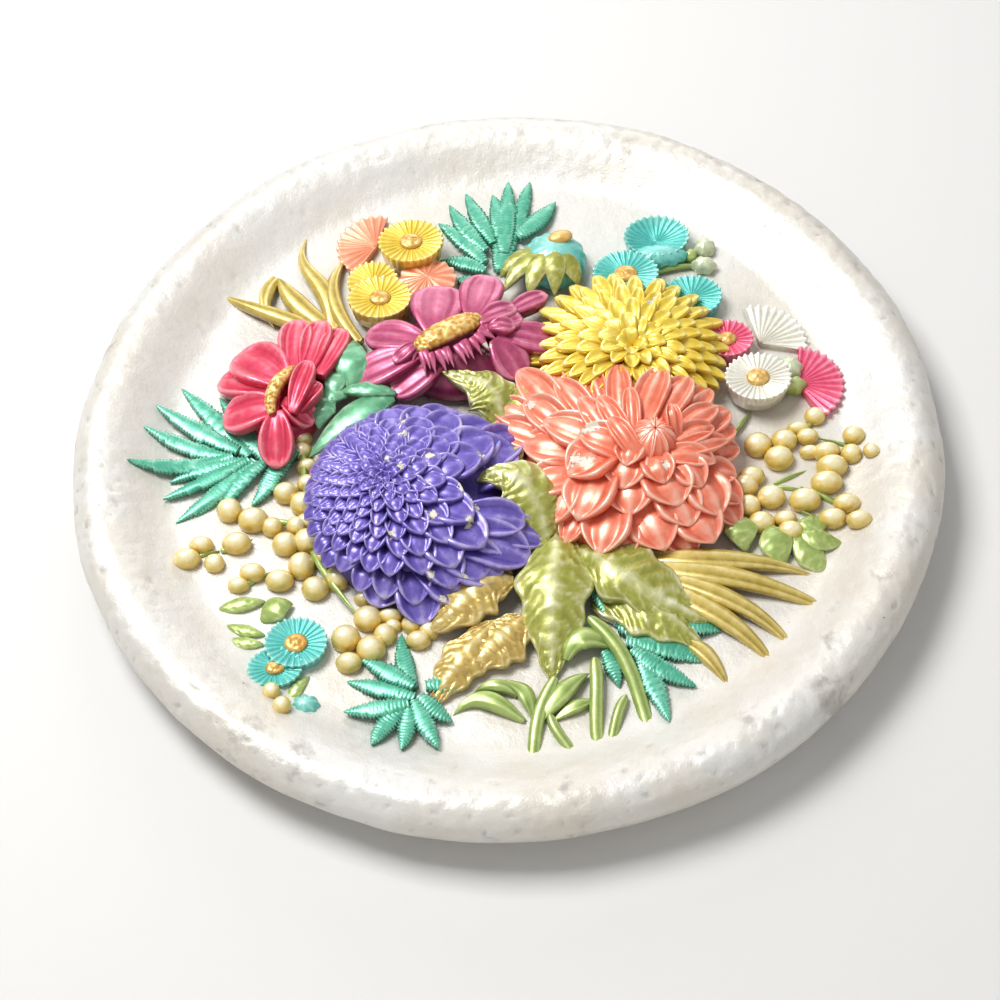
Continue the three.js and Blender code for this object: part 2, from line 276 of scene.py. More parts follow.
def along_route(route: Array, rows: int) -> Array:
    """Points along routes, by Lagrange's polynomial through their evenly spaced points.

    Args:
        route: control points of shape (batch, count, 3).
        rows: how many points to give on each.

    Returns:
        An array of shape (batch, rows, 3).
    """
    count = route.shape[1]
    nodes = np.linspace(0.0, 1.0, count)
    share = np.linspace(0.0, 1.0, rows)
    basis = np.ones((rows, count))
    for k in range(count):
        for other in range(count):
            if other != k:
                basis[:, k] *= (share - nodes[other]) / (nodes[k] - nodes[other])
    return np.einsum("rk,bkd->brd", basis, route)


def unit(vectors: Array) -> Array:
    """Vectors scaled to length one."""
    return vectors / np.maximum(np.linalg.norm(vectors, axis=-1, keepdims=True), 1e-9)


@dataclass(frozen=True)
class Plan:
    """The width of a strip from root to tip.

    It rises as a quarter sine from the root to the shoulder, and falls as (1 - t^blunt)^tip past it, where t
    runs from 0 at the shoulder to 1 at the tip.

    Attributes:
        root: how wide the root is, as a share of the full width.
        shoulder: where it is widest.
        blunt: how late it narrows past the shoulder.
        tip: 0.5 rounds the tip, 1 points it.
        lobes: how many waves run along each edge.
        lobe_depth: how deep they are, as a share of the width.
        teeth: millimetres from tooth to tooth along the edge, or 0 for a smooth edge.
        tooth_depth: how deep the teeth are, as a share of the width.
    """

    root: float = 0.4
    shoulder: float = 0.55
    blunt: float = 2.0
    tip: float = 0.8
    lobes: float = 0.0
    lobe_depth: float = 0.0
    teeth: float = 0.0
    tooth_depth: float = 0.0

    def widths(self, share: Array, length: Array) -> Array:
        """Shares of the full width, of shape (batch, rows), for routes of the given lengths."""
        rise = self.root + (1.0 - self.root) * np.sin(0.5 * np.pi * np.clip(share / self.shoulder, 0.0, 1.0))
        past = np.clip((share - self.shoulder) / (1.0 - self.shoulder), 0.0, 1.0)
        body = np.broadcast_to(rise * (1.0 - past**self.blunt) ** self.tip, (len(length), len(share)))
        if self.lobes:
            body = body * (1.0 + self.lobe_depth * np.sin(2.0 * np.pi * self.lobes * share))
        if self.teeth:
            saw = (share * length[:, None] / self.teeth) % 1.0
            body = body * (1.0 - self.tooth_depth * saw)
        return body


Carving = Callable[[Array, Array, Array, Array], tuple[Array, Array]]


@dataclass(frozen=True)
class Strip:
    """A closed body carried along a route: a flattened loop whose upper side is carved.

    Attributes:
        plan: the outline from root to tip.
        carving: gives the height and tone of the upper side over (x, s, half width, length).
        rows: grid rows from root to tip.
        cols: grid columns round the loop.
        crown: thickness above the middle surface.
        sole: thickness below it.
        cup: how far the edges rise, as a share of the half width; negative hangs them down.
        sharp: the loop's squareness: 1 is an ellipse, less is squarer.
    """

    plan: Plan
    carving: Carving
    rows: int = 18
    cols: int = 20
    crown: float = 0.9
    sole: float = 3.0
    cup: float = 0.15
    sharp: float = 0.7

    def carve(
        self, route: Array, width: Array, up: Array | None = None, lean: float = 0.0
    ) -> tuple[Array, Array]:
        """Builds the strips.

        Args:
            route: control points of shape (batch, count, 3).
            width: full widths of shape (batch,).
            up: outward directions of shape (batch, 3), or None for straight out of the wall.
            lean: how far the middle line is moved towards one edge, as a share of the half width.

        Returns:
            Points of shape (batch, rows, cols, 3) and tones of shape (batch, rows, cols).
        """
        batch = len(route)
        share = 0.5 - 0.5 * np.cos(np.pi * np.linspace(0.0, 1.0, self.rows) ** 0.9)
        fine = along_route(route, 4 * self.rows)
        steps = np.linspace(0.0, 1.0, 4 * self.rows)
        centre = np.stack(
            [[np.interp(share, steps, fine[b, :, axis]) for axis in range(3)] for b in range(batch)]
        ).transpose(0, 2, 1)
        length = np.linalg.norm(np.diff(fine, axis=1), axis=2).sum(axis=1)
        ahead = unit(np.gradient(centre, axis=1))
        outward = UP if up is None else up[:, None, :]
        across = unit(np.cross(np.broadcast_to(outward, ahead.shape), ahead))
        out = np.cross(ahead, across)
        half = self.plan.widths(share, length) * width[:, None] / 2.0

        turn = 2.0 * np.pi * np.arange(self.cols) / self.cols
        x = np.sign(np.cos(turn)) * np.abs(np.cos(turn)) ** self.sharp
        lift = np.sign(np.sin(turn)) * np.abs(np.sin(turn)) ** self.sharp
        upper = np.clip(lift, 0.0, 1.0)
        level, tone = self.carving(
            np.broadcast_to(x, (batch, self.rows, self.cols)),
            np.broadcast_to(share[None, :, None], (batch, self.rows, self.cols)),
            np.broadcast_to(half[:, :, None], (batch, self.rows, self.cols)),
            np.broadcast_to(length[:, None, None], (batch, self.rows, self.cols)),
        )
        ends = np.sqrt(np.clip(half / (width[:, None] * 0.22), 0.0, 1.0))[:, :, None]
        rise = np.where(lift > 0, lift * self.crown, lift * self.sole) * ends
        rise = rise + self.cup * half[:, :, None] * x**2 + level * upper**0.5 * ends
        slide = x + lean * (1.0 - x**2)
        points = centre[:, :, None, :] + across[:, :, None, :] * (half[:, :, None] * slide)[..., None]
        points = points + out[:, :, None, :] * rise[..., None]
        points[:, 0] = centre[:, :1]
        points[:, -1] = centre[:, -1:]
        # Painted shade under strips: the underside's tone drops to 35 percent, so petals, leaves and blades
        # are darker beneath.
        return points, tone * (0.35 + 0.65 * (lift > -0.2))


def petal_carving(ribs: float, depth: float, bead: float, base: float = 0.3, lines: float = 0.0) -> Carving:
    """Ridges that meet at the petal's tip, and a raised bead along its edge and round its tip.

    Args:
        ribs: how many ridges cross the petal.
        depth: their height in millimetres.
        bead: the bead's height in millimetres.
        base: the tone at the root.
        lines: height of fine lines that run along the petal, in millimetres.

    Returns:
        A carving: level = depth cos(pi ribs x) + bead exp(-((q - 0.86) / 0.12)^2), where q is the sixth-power
        norm of x and of the distance past the middle, so that the bead closes round the tip.
    """

    def carve(x: Array, s: Array, half: Array, length: Array) -> tuple[Array, Array]:
        ridge = np.cos(np.pi * ribs * x) * smoothstep(0.05, 0.4, s) * (1.0 - smoothstep(0.75, 1.0, s))
        past = np.clip((s - 0.5) / 0.5, 0.0, 1.0)
        norm = (np.abs(x) ** 6 + past**6) ** (1.0 / 6.0)
        edge = np.exp(-(((norm - 0.86) / 0.12) ** 2)) * smoothstep(0.1, 0.5, s)
        fine = np.cos(9.0 * np.pi * x) * smoothstep(0.1, 0.4, s) * (1.0 - edge)
        level = depth * ridge + bead * edge + lines * fine
        # Painted shade and painted highlight: the tone is lowest at the root, under the petals before it, and
        # rises on the ridges, fine lines and edge bead; partly this is also a real darker wash and rubbed
        # edges.
        tone = base + 0.2 * s + 0.14 * ridge + 0.32 * edge + 0.12 * fine * (lines > 0)
        return level, tone

    return carve


def leaf_carving(veins: float, depth: float, wrinkle: float = 0.25) -> Carving:
    """A midrib with side veins that slant towards the tip, over a wrinkled blade.

    Args:
        veins: how many side veins leave the midrib on each side.
        depth: the midrib's height in millimetres.
        wrinkle: the height of the wrinkles between veins.

    Returns:
        A carving: a narrow bell over the midrib, and a bell over each line s - 0.28|x| = constant.
    """

    def carve(x: Array, s: Array, half: Array, length: Array) -> tuple[Array, Array]:
        rib = np.exp(-((x / (0.09 + 0.05 * (1.0 - s))) ** 2))
        phase = (s - 0.26 * np.abs(x) + 0.03 * np.sin(9.0 * s + 3.0 * x)) * veins
        vein = np.exp(-((((phase % 1.0) - 0.5) / 0.11) ** 2)) * smoothstep(0.02, 0.15, np.abs(x))
        puff = np.cos(2.0 * np.pi * (phase % 1.0)) * smoothstep(0.1, 0.5, np.abs(x)) * (1.0 - np.abs(x) ** 4)
        spot = np.stack([x * half, s * length, half], axis=-1)
        crumple = NOISE.rough(spot, 2.4)
        level = depth * rib + 0.45 * depth * vein - 0.3 * depth * puff + wrinkle * crumple
        edge = np.exp(-(((np.abs(x) - 0.93) / 0.07) ** 2))
        level = level + 0.35 * edge
        # Painted highlight and painted shade: lighter on the midrib, veins, raised crumples and edge and
        # towards the tip, darker between them.
        tone = 0.34 + 0.32 * rib + 0.22 * vein + 0.12 * crumple + 0.3 * edge + 0.1 * s
        return level, tone

    return carve


def fern_carving(pitch: float, depth: float, slant: float = 0.9) -> Carving:
    """A herringbone of small pinnules on both sides of a rib.

    Args:
        pitch: millimetres from pinnule to pinnule.
        depth: their relief in millimetres.
        slant: how far the pinnules lean towards the tip, in millimetres for each millimetre from the rib.

    Returns:
        A carving: level = depth |sin(pi phase)|^0.6, lower towards the edges, with
        phase = (length along the leaflet - slant |x| half width) / pitch.
    """

    def carve(x: Array, s: Array, half: Array, length: Array) -> tuple[Array, Array]:
        phase = (s * length - slant * np.abs(x) * half) / pitch
        comb = np.abs(np.sin(np.pi * phase)) ** 0.6 * smoothstep(0.05, 0.2, np.abs(x))
        rib = np.exp(-((x / 0.1) ** 2))
        level = depth * comb * (1.0 - 0.5 * np.abs(x)) + 0.5 * depth * rib
        # Painted shade and painted highlight: darkest in the grooves between pinnules, light on their crests
        # and on the rib.
        return level, 0.08 + 0.62 * comb * (0.6 + 0.4 * np.abs(x)) + 0.35 * rib

    return carve


def blade_carving(depth: float) -> Carving:
    """A ridge off the middle line with a groove beside it, as on a folded grass blade."""

    def carve(x: Array, s: Array, half: Array, length: Array) -> tuple[Array, Array]:
        ridge = np.exp(-(((x - 0.15) / 0.22) ** 2)) + 0.6 * np.exp(-(((x + 0.7) / 0.16) ** 2))
        groove = np.exp(-(((x + 0.3) / 0.18) ** 2))
        level = depth * (ridge - 0.8 * groove)
        # Painted highlight on the ridge and painted shade in the groove.
        return level, 0.35 + 0.45 * ridge - 0.25 * groove

    return carve


def routes_of(rows: Sequence[tuple], bow: float = 0.0) -> tuple[Array, Array]:
    """Splits rows of (width, point, point, ...) with equal numbers of points into routes and widths.

    Args:
        rows: the rows.
        bow: where a row has only a root and a tip, how far its middle stands above both, in millimetres.

    Returns:
        Routes of shape (batch, count, 3) and widths of shape (batch,).
    """
    routes = np.array([row[1:] for row in rows], dtype=float)
    if routes.shape[1] == 2:
        middle = routes.mean(axis=1, keepdims=True)
        middle[:, 0, 2] += bow
        routes = np.concatenate([routes[:, :1], middle, routes[:, 1:]], axis=1)
    return routes, np.array([row[0] for row in rows], dtype=float)


# ---- Domed flowers -------------------------------------------------------------------------------


@dataclass(frozen=True)
class PetalRing:
    """One ring of a domed flower.

    Attributes:
        reach: the tips' distance from the heart, as a share of the flower's radius.
        count: how many petals the ring has.
        length: a petal's length, as a share of the radius.
        wide: a petal's width over the spacing between petals.
        lift: millimetres that the tips stand above the dome.
        belly: millimetres that the middle is bowed outwards.
    """

    reach: float
    count: int
    length: float
    wide: float = 1.3
    lift: float = 0.0
    belly: float = 1.2


@dataclass
class DomedFlower:
    """A dahlia or chrysanthemum: petals over a dome, in nested rings and in places stated one by one.

    The rings of a plain round flower are laid out in the unit disc and carried by the Moebius map
    z -> (z + c) / (1 + conj(c) z), which moves the heart off the middle and makes petals larger on the far
    side.

    Attributes:
        heart: (u, v) of the innermost petals.
        middle: (u, v) of the outline's middle.
        radius: the outline's radius.
        top: height of the heart over the back.
        edge: height of the outermost tips.
        rings: the rings from the outside in.
        strip: the body of a petal.
        seed: starts the small irregularities.
        stated: rows of (width, root, tip) for petals in stated places.
        stated_strip: their body, where it isn't the same as the rings'.
        bow: how far their middles stand out, in millimetres.
        swell: how much wider than stated they are made.
        tuck: how far their roots run on under the petals before them, as a share of their length.
        sink: how far their roots are lowered, in millimetres.
        gap: (u, v, radius) of a round spot where the rings have no petal tips.
    """

    heart: tuple[float, float]
    middle: tuple[float, float]
    radius: float
    top: float
    edge: float
    rings: Sequence[PetalRing]
    strip: Strip
    seed: int = 1
    stated: Sequence[tuple] = ()
    stated_strip: Strip | None = None
    bow: float = 1.5
    swell: float = 1.18
    tuck: float = 0.25
    sink: float = 4.0
    gap: tuple[float, float, float] = (0.0, 0.0, 0.0)

    def spread(self, disc: Array) -> tuple[Array, Array]:
        """Carries points of the unit disc to the flower.

        Args:
            disc: complex numbers inside the unit circle.

        Returns:
            Points (..., 3) on the dome, and the local scale in millimetres.
        """
        offset = (complex(*self.heart) - complex(*self.middle)) / self.radius
        moved = (disc + offset) / (1.0 + np.conj(offset) * disc)
        scale = (1.0 - abs(offset) ** 2) / np.abs(1.0 + np.conj(offset) * disc) ** 2
        spot = complex(*self.middle) + self.radius * moved
        height = self.edge + (self.top - self.edge) * np.clip(1.0 - np.abs(disc) ** 2, 0.0, 1.0) ** 0.6
        return np.stack([spot.real, spot.imag, height], axis=-1), scale * self.radius

    def petals(self) -> tuple[Array, Array]:
        """Routes and widths of the rings' petals."""
        dice = np.random.default_rng(self.seed)
        routes, widths = [], []
        for number, ring in enumerate(self.rings):
            step = 2.0 * np.pi / ring.count
            shake = dice.uniform(-0.15, 0.15, ring.count)
            angle = step * (np.arange(ring.count) + 0.5 * (number % 2) + shake)
            tip = ring.reach * (1.0 + dice.uniform(-0.03, 0.03, ring.count))
            shares = np.maximum(np.stack([tip - ring.length, tip - 0.45 * ring.length, tip]), 0.02)
            points, scale = self.spread(shares * np.exp(1j * angle))
            tip_height = points[2, :, 2] + ring.lift + dice.uniform(-0.8, 0.8, ring.count)
            points[0, :, 2] = tip_height - PETAL_ROOT_DROP - 0.5 * ring.lift
            points[1, :, 2] = np.maximum(points[1, :, 2] * 0.35 + tip_height * 0.65, tip_height) + ring.belly
            points[2, :, 2] = tip_height
            width = ring.wide * scale[2] * ring.reach * step * dice.uniform(0.9, 1.1, ring.count)
            kept = np.hypot(points[2, :, 0] - self.gap[0], points[2, :, 1] - self.gap[1]) >= self.gap[2]
            routes.append(points.transpose(1, 0, 2)[kept])
            widths.append(width[kept])
        return np.concatenate(routes), np.concatenate(widths)

    def core(self) -> tuple[Array, Array]:
        """The dome under the petals, closed below."""
        angle = 2.0 * np.pi * np.arange(48) / 48
        rings = np.concatenate([[0.0, 0.9], np.linspace(0.93, 0.0, 14)])
        points, _ = self.spread(rings[:, None] * np.exp(1j * angle)[None, :])
        points[:2, :, 2] = FIELD_HEIGHT
        points[2:, :, 2] -= CORE_DEPTH
        points[0] = points[0].mean(axis=0)
        # Painted shade under the petals: the dome takes the lowest tone, the deepest colour.
        return points[None], np.full((1, len(rings), 48), 0.05)

    def outward(self, routes: Array) -> Array:
        """Outward directions at the petals: up, leaning away from the heart."""
        away = routes[:, -1, :2] - np.array(self.heart)
        lean = PETAL_LEAN * away / self.radius
        return unit(np.concatenate([lean, np.ones((len(routes), 1))], axis=1))

    def relief(self) -> Relief:
        """All petals over the core."""
        relief = Relief().add(*self.core())
        if self.rings:
            routes, widths = self.petals()
            relief.add(*self.strip.carve(routes, widths, self.outward(routes)))
        if self.stated:
            routes, widths = routes_of(self.stated, self.bow)
            widths = widths * self.swell
            routes[:, 0] += self.tuck * (routes[:, 0] - routes[:, -1]) - self.sink * UP
            relief.add(*(self.stated_strip or self.strip).carve(routes, widths, self.outward(routes)))
        return relief


def closed_bud(
    middle: Sequence[float], radius: float, tip: Sequence[float], count: int, strip: Strip
) -> tuple[Array, Array]:
    """Petals folded over a ball to one tip.

    Args:
        middle: (u, v, h) of the ball's middle.
        radius: its radius.
        tip: (u, v, h) where the petals meet.
        count: how many petals there are.
        strip: the body of a petal.

    Returns:
        Points and tones for a relief.
    """
    angle = 2.0 * np.pi * (np.arange(count) + 0.3) / count
    ring = np.stack([np.cos(angle), np.sin(angle), np.zeros(count)], axis=-1)
    ball = np.array(middle)
    high = (np.array(tip) - ball) * 0.62
    routes = np.stack(
        [
            ball + radius * ring * 0.8 - 0.8 * radius * UP,
            ball + radius * ring,
            ball + radius * ring * 0.78 + high,
            np.array(tip) + 0.04 * radius * ring,
        ],
        axis=1,
    )
    width = np.full(count, 2.0 * np.pi * radius / count * 1.25)
    return strip.carve(routes, width, unit(ring + 0.8 * UP))


BOAT_PETAL = Plan(root=0.75, shoulder=0.5, blunt=2.0, tip=0.85)
TILE_PETAL = Plan(root=0.75, shoulder=0.5, blunt=1.7, tip=1.0)
SPOON_PETAL = Plan(root=0.35, shoulder=0.62, blunt=2.2, tip=0.6)
SPIKE_PETAL = Plan(root=0.9, shoulder=0.3, blunt=1.0, tip=1.0)
TUBE_PETAL = Plan(root=0.6, shoulder=0.6, blunt=1.7, tip=0.8)

CORAL_DAHLIA = DomedFlower(
    heart=(54.0, -19.0),
    middle=(42.0, -13.0),
    radius=44.0,
    top=39.0,
    edge=20.0,
    rings=(),
    stated=(
        (11.5, (41, -45, 22), (40, -58, 17)), (10, (26, -38, 22), (19, -50, 17)),
        (11, (69, -40, 21), (75, -50, 16)), (13, (59, -45, 20), (65, -57, 15)),
        (11, (76, -36, 21), (83, -46, 16)), (11.5, (71, -19, 26), (87, -14, 19)),
        (10.5, (74, -31, 24), (85, -38, 19)), (10.5, (70, -28, 28), (84, -28, 22)),
        (12.5, (72, -12, 28), (86, -6, 21)), (16.5, (37, -38, 26), (31, -58, 21)),
        (17, (48, -40, 26), (55, -57, 20)), (16, (64, -42, 26), (73, -55, 20)),
        (14, (23, -26, 26), (15, -43, 20)), (13.5, (24, -25, 28), (6, -27, 21)),
        (15.5, (25, -15, 29), (6, -8, 22)), (18, (33, -27, 31), (24, -45, 25)),
        (18, (44, -28, 31), (43, -45, 26)), (15.5, (58, -35, 31), (65, -50, 24)),
        (15.5, (69, -32, 31), (76, -46, 24)), (17, (36, -19, 35), (22, -28, 29)),
        (16, (44, -22, 35), (41, -36, 30)), (17, (55, -29, 35), (61, -44, 29)),
        (12, (63, -28, 35), (70, -37, 30)), (10, (46, -20, 37), (43, -29, 35)),
        (11, (53, -27, 38), (56, -37, 34)), (8.5, (60, -25, 37), (76, -27, 30)),
        (12, (15, -9, 26), (-5, 4, 19)), (11.5, (12, 1, 25), (-5, 14, 18)), (12, (22, -6, 30), (8, 11, 24)),
        (13, (36, -16, 34), (14, -2, 28)), (12, (43, -21, 37), (27, -12, 33)),
        (12.5, (22, 0, 28), (6, 28, 21)), (10, (33, -6, 32), (20, 18, 27)),
        (8.5, (39, -17, 36), (28, 5, 32)), (7.5, (44, -18, 38), (35, 3, 35)),
        (7, (46, -24, 40), (38, -10, 38)), (8, (24, 6, 26), (17, 32, 20)), (8, (31, 7, 28), (27, 36, 21)),
        (7.5, (37, 3, 31), (32, 29, 25)), (11, (42, 5, 30), (41, 38, 22)), (9, (43, -6, 34), (44, 21, 30)),
        (12.5, (47, 5, 30), (56, 38, 22)), (6, (47, -13, 38), (47, 5, 36)),
        (11.5, (51, -6, 36), (61, 18, 30)), (9, (52, 7, 31), (64, 23, 26)),
        (11, (58, -6, 35), (71, 14, 28)), (10, (57, 10, 28), (68, 31, 20)),
        (11, (65, -4, 30), (79, 12, 22)), (9, (64, -13, 34), (80, 0, 27)),
        (10.5, (70, -11, 29), (85, 1, 22)), (8.5, (62, -20, 37), (77, -12, 31)),
        (7.5, (62, -24, 37), (82, -17, 29)), (5.5, (62, -17, 39), (61, -7, 40)),
    ),
    strip=Strip(TILE_PETAL, petal_carving(2.0, 0.6, 0.9, lines=0.12), rows=28, cols=40, sole=5.0, cup=0.06),
    bow=1.6,
)

CORAL_BUD = closed_bud(
    (53.5, -19.0, 36.0),
    7.6,
    (54.5, -17.5, 42.0),
    8,
    Strip(
        Plan(root=0.8, shoulder=0.35, blunt=1.3, tip=0.8),
        petal_carving(2.0, 0.4, 0.3),
        rows=22,
        cols=20,
        sole=2.5,
        cup=-0.1,
    ),
)

PURPLE_DAHLIA = DomedFlower(
    heart=(-45.0, -31.0),
    middle=(-33.0, -29.0),
    radius=43.0,
    top=38.5,
    edge=20.0,
    rings=(
        PetalRing(1.0, 23, 0.4, 1.2, 0.0, 1.4),
        PetalRing(0.87, 22, 0.38, 1.15, 1.0, 1.4),
        PetalRing(0.74, 20, 0.35, 1.1, 1.6, 1.4),
        PetalRing(0.61, 18, 0.31, 1.05, 2.0),
        PetalRing(0.49, 16, 0.27, 1.0, 2.2),
        PetalRing(0.37, 13, 0.22, 1.0, 2.4),
        PetalRing(0.26, 10, 0.17, 1.0, 2.4),
        PetalRing(0.16, 8, 0.12, 1.0, 2.2),
        PetalRing(0.07, 5, 0.06, 1.1, 1.8),
    ),
    strip=Strip(
        BOAT_PETAL, petal_carving(2.0, 0.45, 0.9, 0.16, lines=0.06), rows=20, cols=26, sole=3.5, cup=0.14
    ),
    seed=8,
    gap=(1.0, -29.0, 13.0),
    stated=(
        (15, (-36, -60, 22), (-34, -79, 15)), (16, (-42, -53, 23), (-51, -71, 16)),
        (16, (-30, -58, 26), (-18, -72, 17)), (17, (-24, -54, 28), (-5, -64, 19)),
        (16, (-18, -50, 30), (6, -57, 19)), (12, (-8, -46, 27), (13, -48, 17)),
        (13, (-14, -44, 31), (5, -44, 24)), (15, (-12, -18, 29), (5, -2, 20)),
        (12, (-14, -25, 28), (1, -15, 21)),
    ),
    stated_strip=Strip(
        BOAT_PETAL, petal_carving(2.0, 0.5, 1.0, 0.2, lines=0.1), rows=28, cols=40, sole=5.0, cup=0.16
    ),
)

YELLOW_MUM = DomedFlower(
    heart=(50.5, 29.5),
    middle=(49.0, 34.0),
    radius=38.0,
    top=30.0,
    edge=19.0,
    rings=(
        PetalRing(1.04, 34, 0.6, 0.8, 0.0, 1.5),
        PetalRing(0.92, 32, 0.6, 0.8, 1.5, 1.8),
        PetalRing(0.76, 27, 0.52, 0.85, 2.5, 1.8),
        PetalRing(0.56, 19, 0.42, 0.9, 3.0, 1.6),
        PetalRing(0.34, 11, 0.28, 0.95, 3.0, 1.2),
        PetalRing(0.15, 5, 0.13, 1.0, 2.0, 0.8),
    ),
    strip=Strip(
        TUBE_PETAL, petal_carving(1.0, -0.5, 0.8, 0.25), rows=18, cols=16, sole=2.5, cup=0.15, sharp=0.8
    ),
    seed=12,
)


# ---- Open flowers with explicit petals -----------------------------------------------------------


def dome_surface(
    middle: Sequence[float],
    size: Sequence[float],
    turn: float,
    rows: int,
    cols: int,
    relief: Callable | None = None,
) -> Array:
    """A closed egg: sin and cos of two angles, scaled to its size, turned about h and moved to its middle.

    Args:
        middle: (u, v, h) of its middle.
        size: full sizes along its own axes.
        turn: degrees that it is turned about h.
        rows: grid rows from the lowest to the highest point.
        cols: grid columns round it.
        relief: gives millimetres to push points of the unit ball outwards, over its (..., 3) points.

    Returns:
        Points of shape (1, rows, cols, 3).
    """
    down = np.pi * np.linspace(1.0, 0.0, rows)[:, None]
    around = 2.0 * np.pi * np.arange(cols)[None, :] / cols
    ball = np.stack(
        [
            np.sin(down) * np.cos(around),
            np.sin(down) * np.sin(around),
            np.cos(down) * np.ones_like(around),
        ],
        axis=-1,
    )
    points = ball * (np.array(size) / 2.0)
    if relief is not None:
        points = points + ball * relief(ball)[..., None]
    spin = math.radians(turn)
    u = points[..., 0] * math.cos(spin) - points[..., 1] * math.sin(spin)
    v = points[..., 0] * math.sin(spin) + points[..., 1] * math.cos(spin)
    return (np.stack([u, v, points[..., 2]], axis=-1) + np.array(middle))[None]


@dataclass
class OpenFlower:
    """A flower with a few large petals about a stamen cushion.

    Attributes:
        petals: rows of (width, root, tip).
        small: rows of the small inner petals.
        body: (middle, size) of the mass that carries the petals.
        stamens: (width, point, point, ...) of the cushion's route.
        strip: the body of a petal.
        bow: how far a petal's middle stands out, in millimetres.
    """

    petals: Sequence[tuple]
    small: Sequence[tuple]
    body: tuple
    stamens: tuple
    strip: Strip
    bow: float = 2.0

    def relief(self) -> Relief:
        """The petals over their body."""
        # Painted shade under the petals: their body takes the lowest tone, the deepest colour.
        relief = Relief().add(dome_surface(*self.body, 0.0, 12, 32), np.full((1, 1, 1), 0.05))
        relief.add(*self.strip.carve(*routes_of(self.petals, self.bow)))
        if self.small:
            relief.add(*SMALL_PETAL.carve(*routes_of(self.small, 0.6)))
        return relief

    def cushion(self) -> tuple[Array, Array]:
        """The stamen cushion, stippled by a fine noise."""
        return STAMENS.carve(*routes_of((self.stamens,)))


def stipple_carving(grain: float, depth: float) -> Carving:
    """Stamen heads: a noise of grain millimetres and a depth in millimetres."""

    def carve(x: Array, s: Array, half: Array, length: Array) -> tuple[Array, Array]:
        dots = NOISE.at(np.stack([x * half, s * length, np.zeros_like(x)], axis=-1), grain)
        # Painted highlight and painted shade: raised dots lighter, the hollows between them darker.
        return depth * dots, 0.5 + 0.5 * dots

    return carve


SMALL_PETAL = Strip(SPIKE_PETAL, petal_carving(1.0, 0.3, 0.3, 0.4), rows=12, cols=14, sole=2.0, cup=0.1)

STAMENS = Strip(
    Plan(root=0.6, shoulder=0.5, blunt=2.5, tip=0.5),
    stipple_carving(0.8, 0.4),
    rows=70,
    cols=44,
    crown=2.0,
    sole=4.0,
    cup=0.0,
    sharp=0.9,
)

MAGENTA_FLOWER = OpenFlower(
    petals=(
        (22, (-25, 44, 27), (-22, 71, 22)), (17.5, (-10, 49, 28), (-3, 75, 22)),
        (9, (3, 53, 24), (20, 66, 19)), (12, (-7, 42, 30), (9, 50, 26)), (14.5, (-1, 41, 28), (24, 40, 21)),
        (15, (-2, 38, 29), (8, 25, 19)), (9, (9, 38, 20), (20, 31, 15)), (14, (-22, 32, 25), (-43, 21, 19)),
        (16, (-30, 35, 28), (-59, 29, 19)), (15.5, (-28, 39, 28), (-52, 50, 21)),
        (6.5, (-31, 37, 30), (-41, 31, 27)), (10, (-8, 45, 31), (7, 55, 26)),
        (8, (-4, 42, 31), (6, 43, 29)),
    ),
    small=(
        (3.2, (-30, 33, 31), (-29, 24, 27)), (3.2, (-27, 32, 31), (-25, 24, 27)),
        (3.5, (-24, 33, 31), (-21, 25, 27)), (3.2, (-21, 34, 31), (-18, 26, 28)),
        (3.2, (-17, 35, 31), (-13, 27, 28)), (3.2, (-14, 37, 31), (-10, 29, 28)),
        (3.2, (-11, 38, 31), (-7, 31, 28)), (3.8, (-9, 40, 31), (-4, 33, 28)),
        (4.2, (-8, 42, 31), (-1, 38, 28)), (3.8, (-7, 45, 31), (-1, 44, 28)),
        (3, (-29, 33, 31), (-27, 25, 29)), (3, (-22, 33, 31), (-20, 27, 29)),
        (3, (-15, 36, 31), (-12, 29, 29)), (3, (-32, 36, 30), (-34, 29, 27)),
    ),
    body=((-17.0, 42.0, 15.0), (50.0, 42.0, 22.0)),
    stamens=(9.5, (-31, 35.5, 30), (-25, 38.5, 32.5), (-14, 44, 32.5), (-7.5, 46.5, 30)),
    strip=Strip(
        SPOON_PETAL, petal_carving(3.0, 0.3, 0.5, 0.22, lines=0.05), rows=30, cols=44, sole=6.0, cup=0.08
    ),
)

RED_FLOWER = OpenFlower(
    petals=(
        (14, (-80, 28, 27), (-79, 61, 19)), (21, (-82, 25, 27), (-102, 45, 20)),
        (14.5, (-88, 24, 24), (-110, 35, 16)), (18, (-85, 15, 26), (-108, 16, 16)),
        (14, (-86, 12, 27), (-87, -8, 17)), (12.5, (-75, 28, 27), (-69, 59, 20)),
        (11.5, (-70, 28, 26), (-61, 55, 19)), (9, (-80, 9, 29), (-73, 32, 30)),
        (12, (-84, 17, 26), (-73, 11, 18)), (9, (-78, 12, 26), (-70, 24, 26)),
    ),
    small=(),
    body=((-85.0, 23.0, 14.0), (32.0, 36.0, 20.0)),
    stamens=(5.5, (-87.5, 10, 28), (-87.5, 17, 30.5), (-84, 24, 31), (-79, 30, 28.5)),
    strip=Strip(
        SPOON_PETAL, petal_carving(2.5, 0.6, 0.6, 0.22, lines=0.05), rows=30, cols=44, sole=6.0, cup=0.12
    ),
)


# ---- Small daisies -------------------------------------------------------------------------------


class Paint(Enum):
    """The paint of a small flower."""

    YELLOW = "yellow_paint"
    PEACH = "peach_paint"
    BLUE = "blue_paint"
    PINK = "red_paint"
    WHITE = "pearl_plaster"


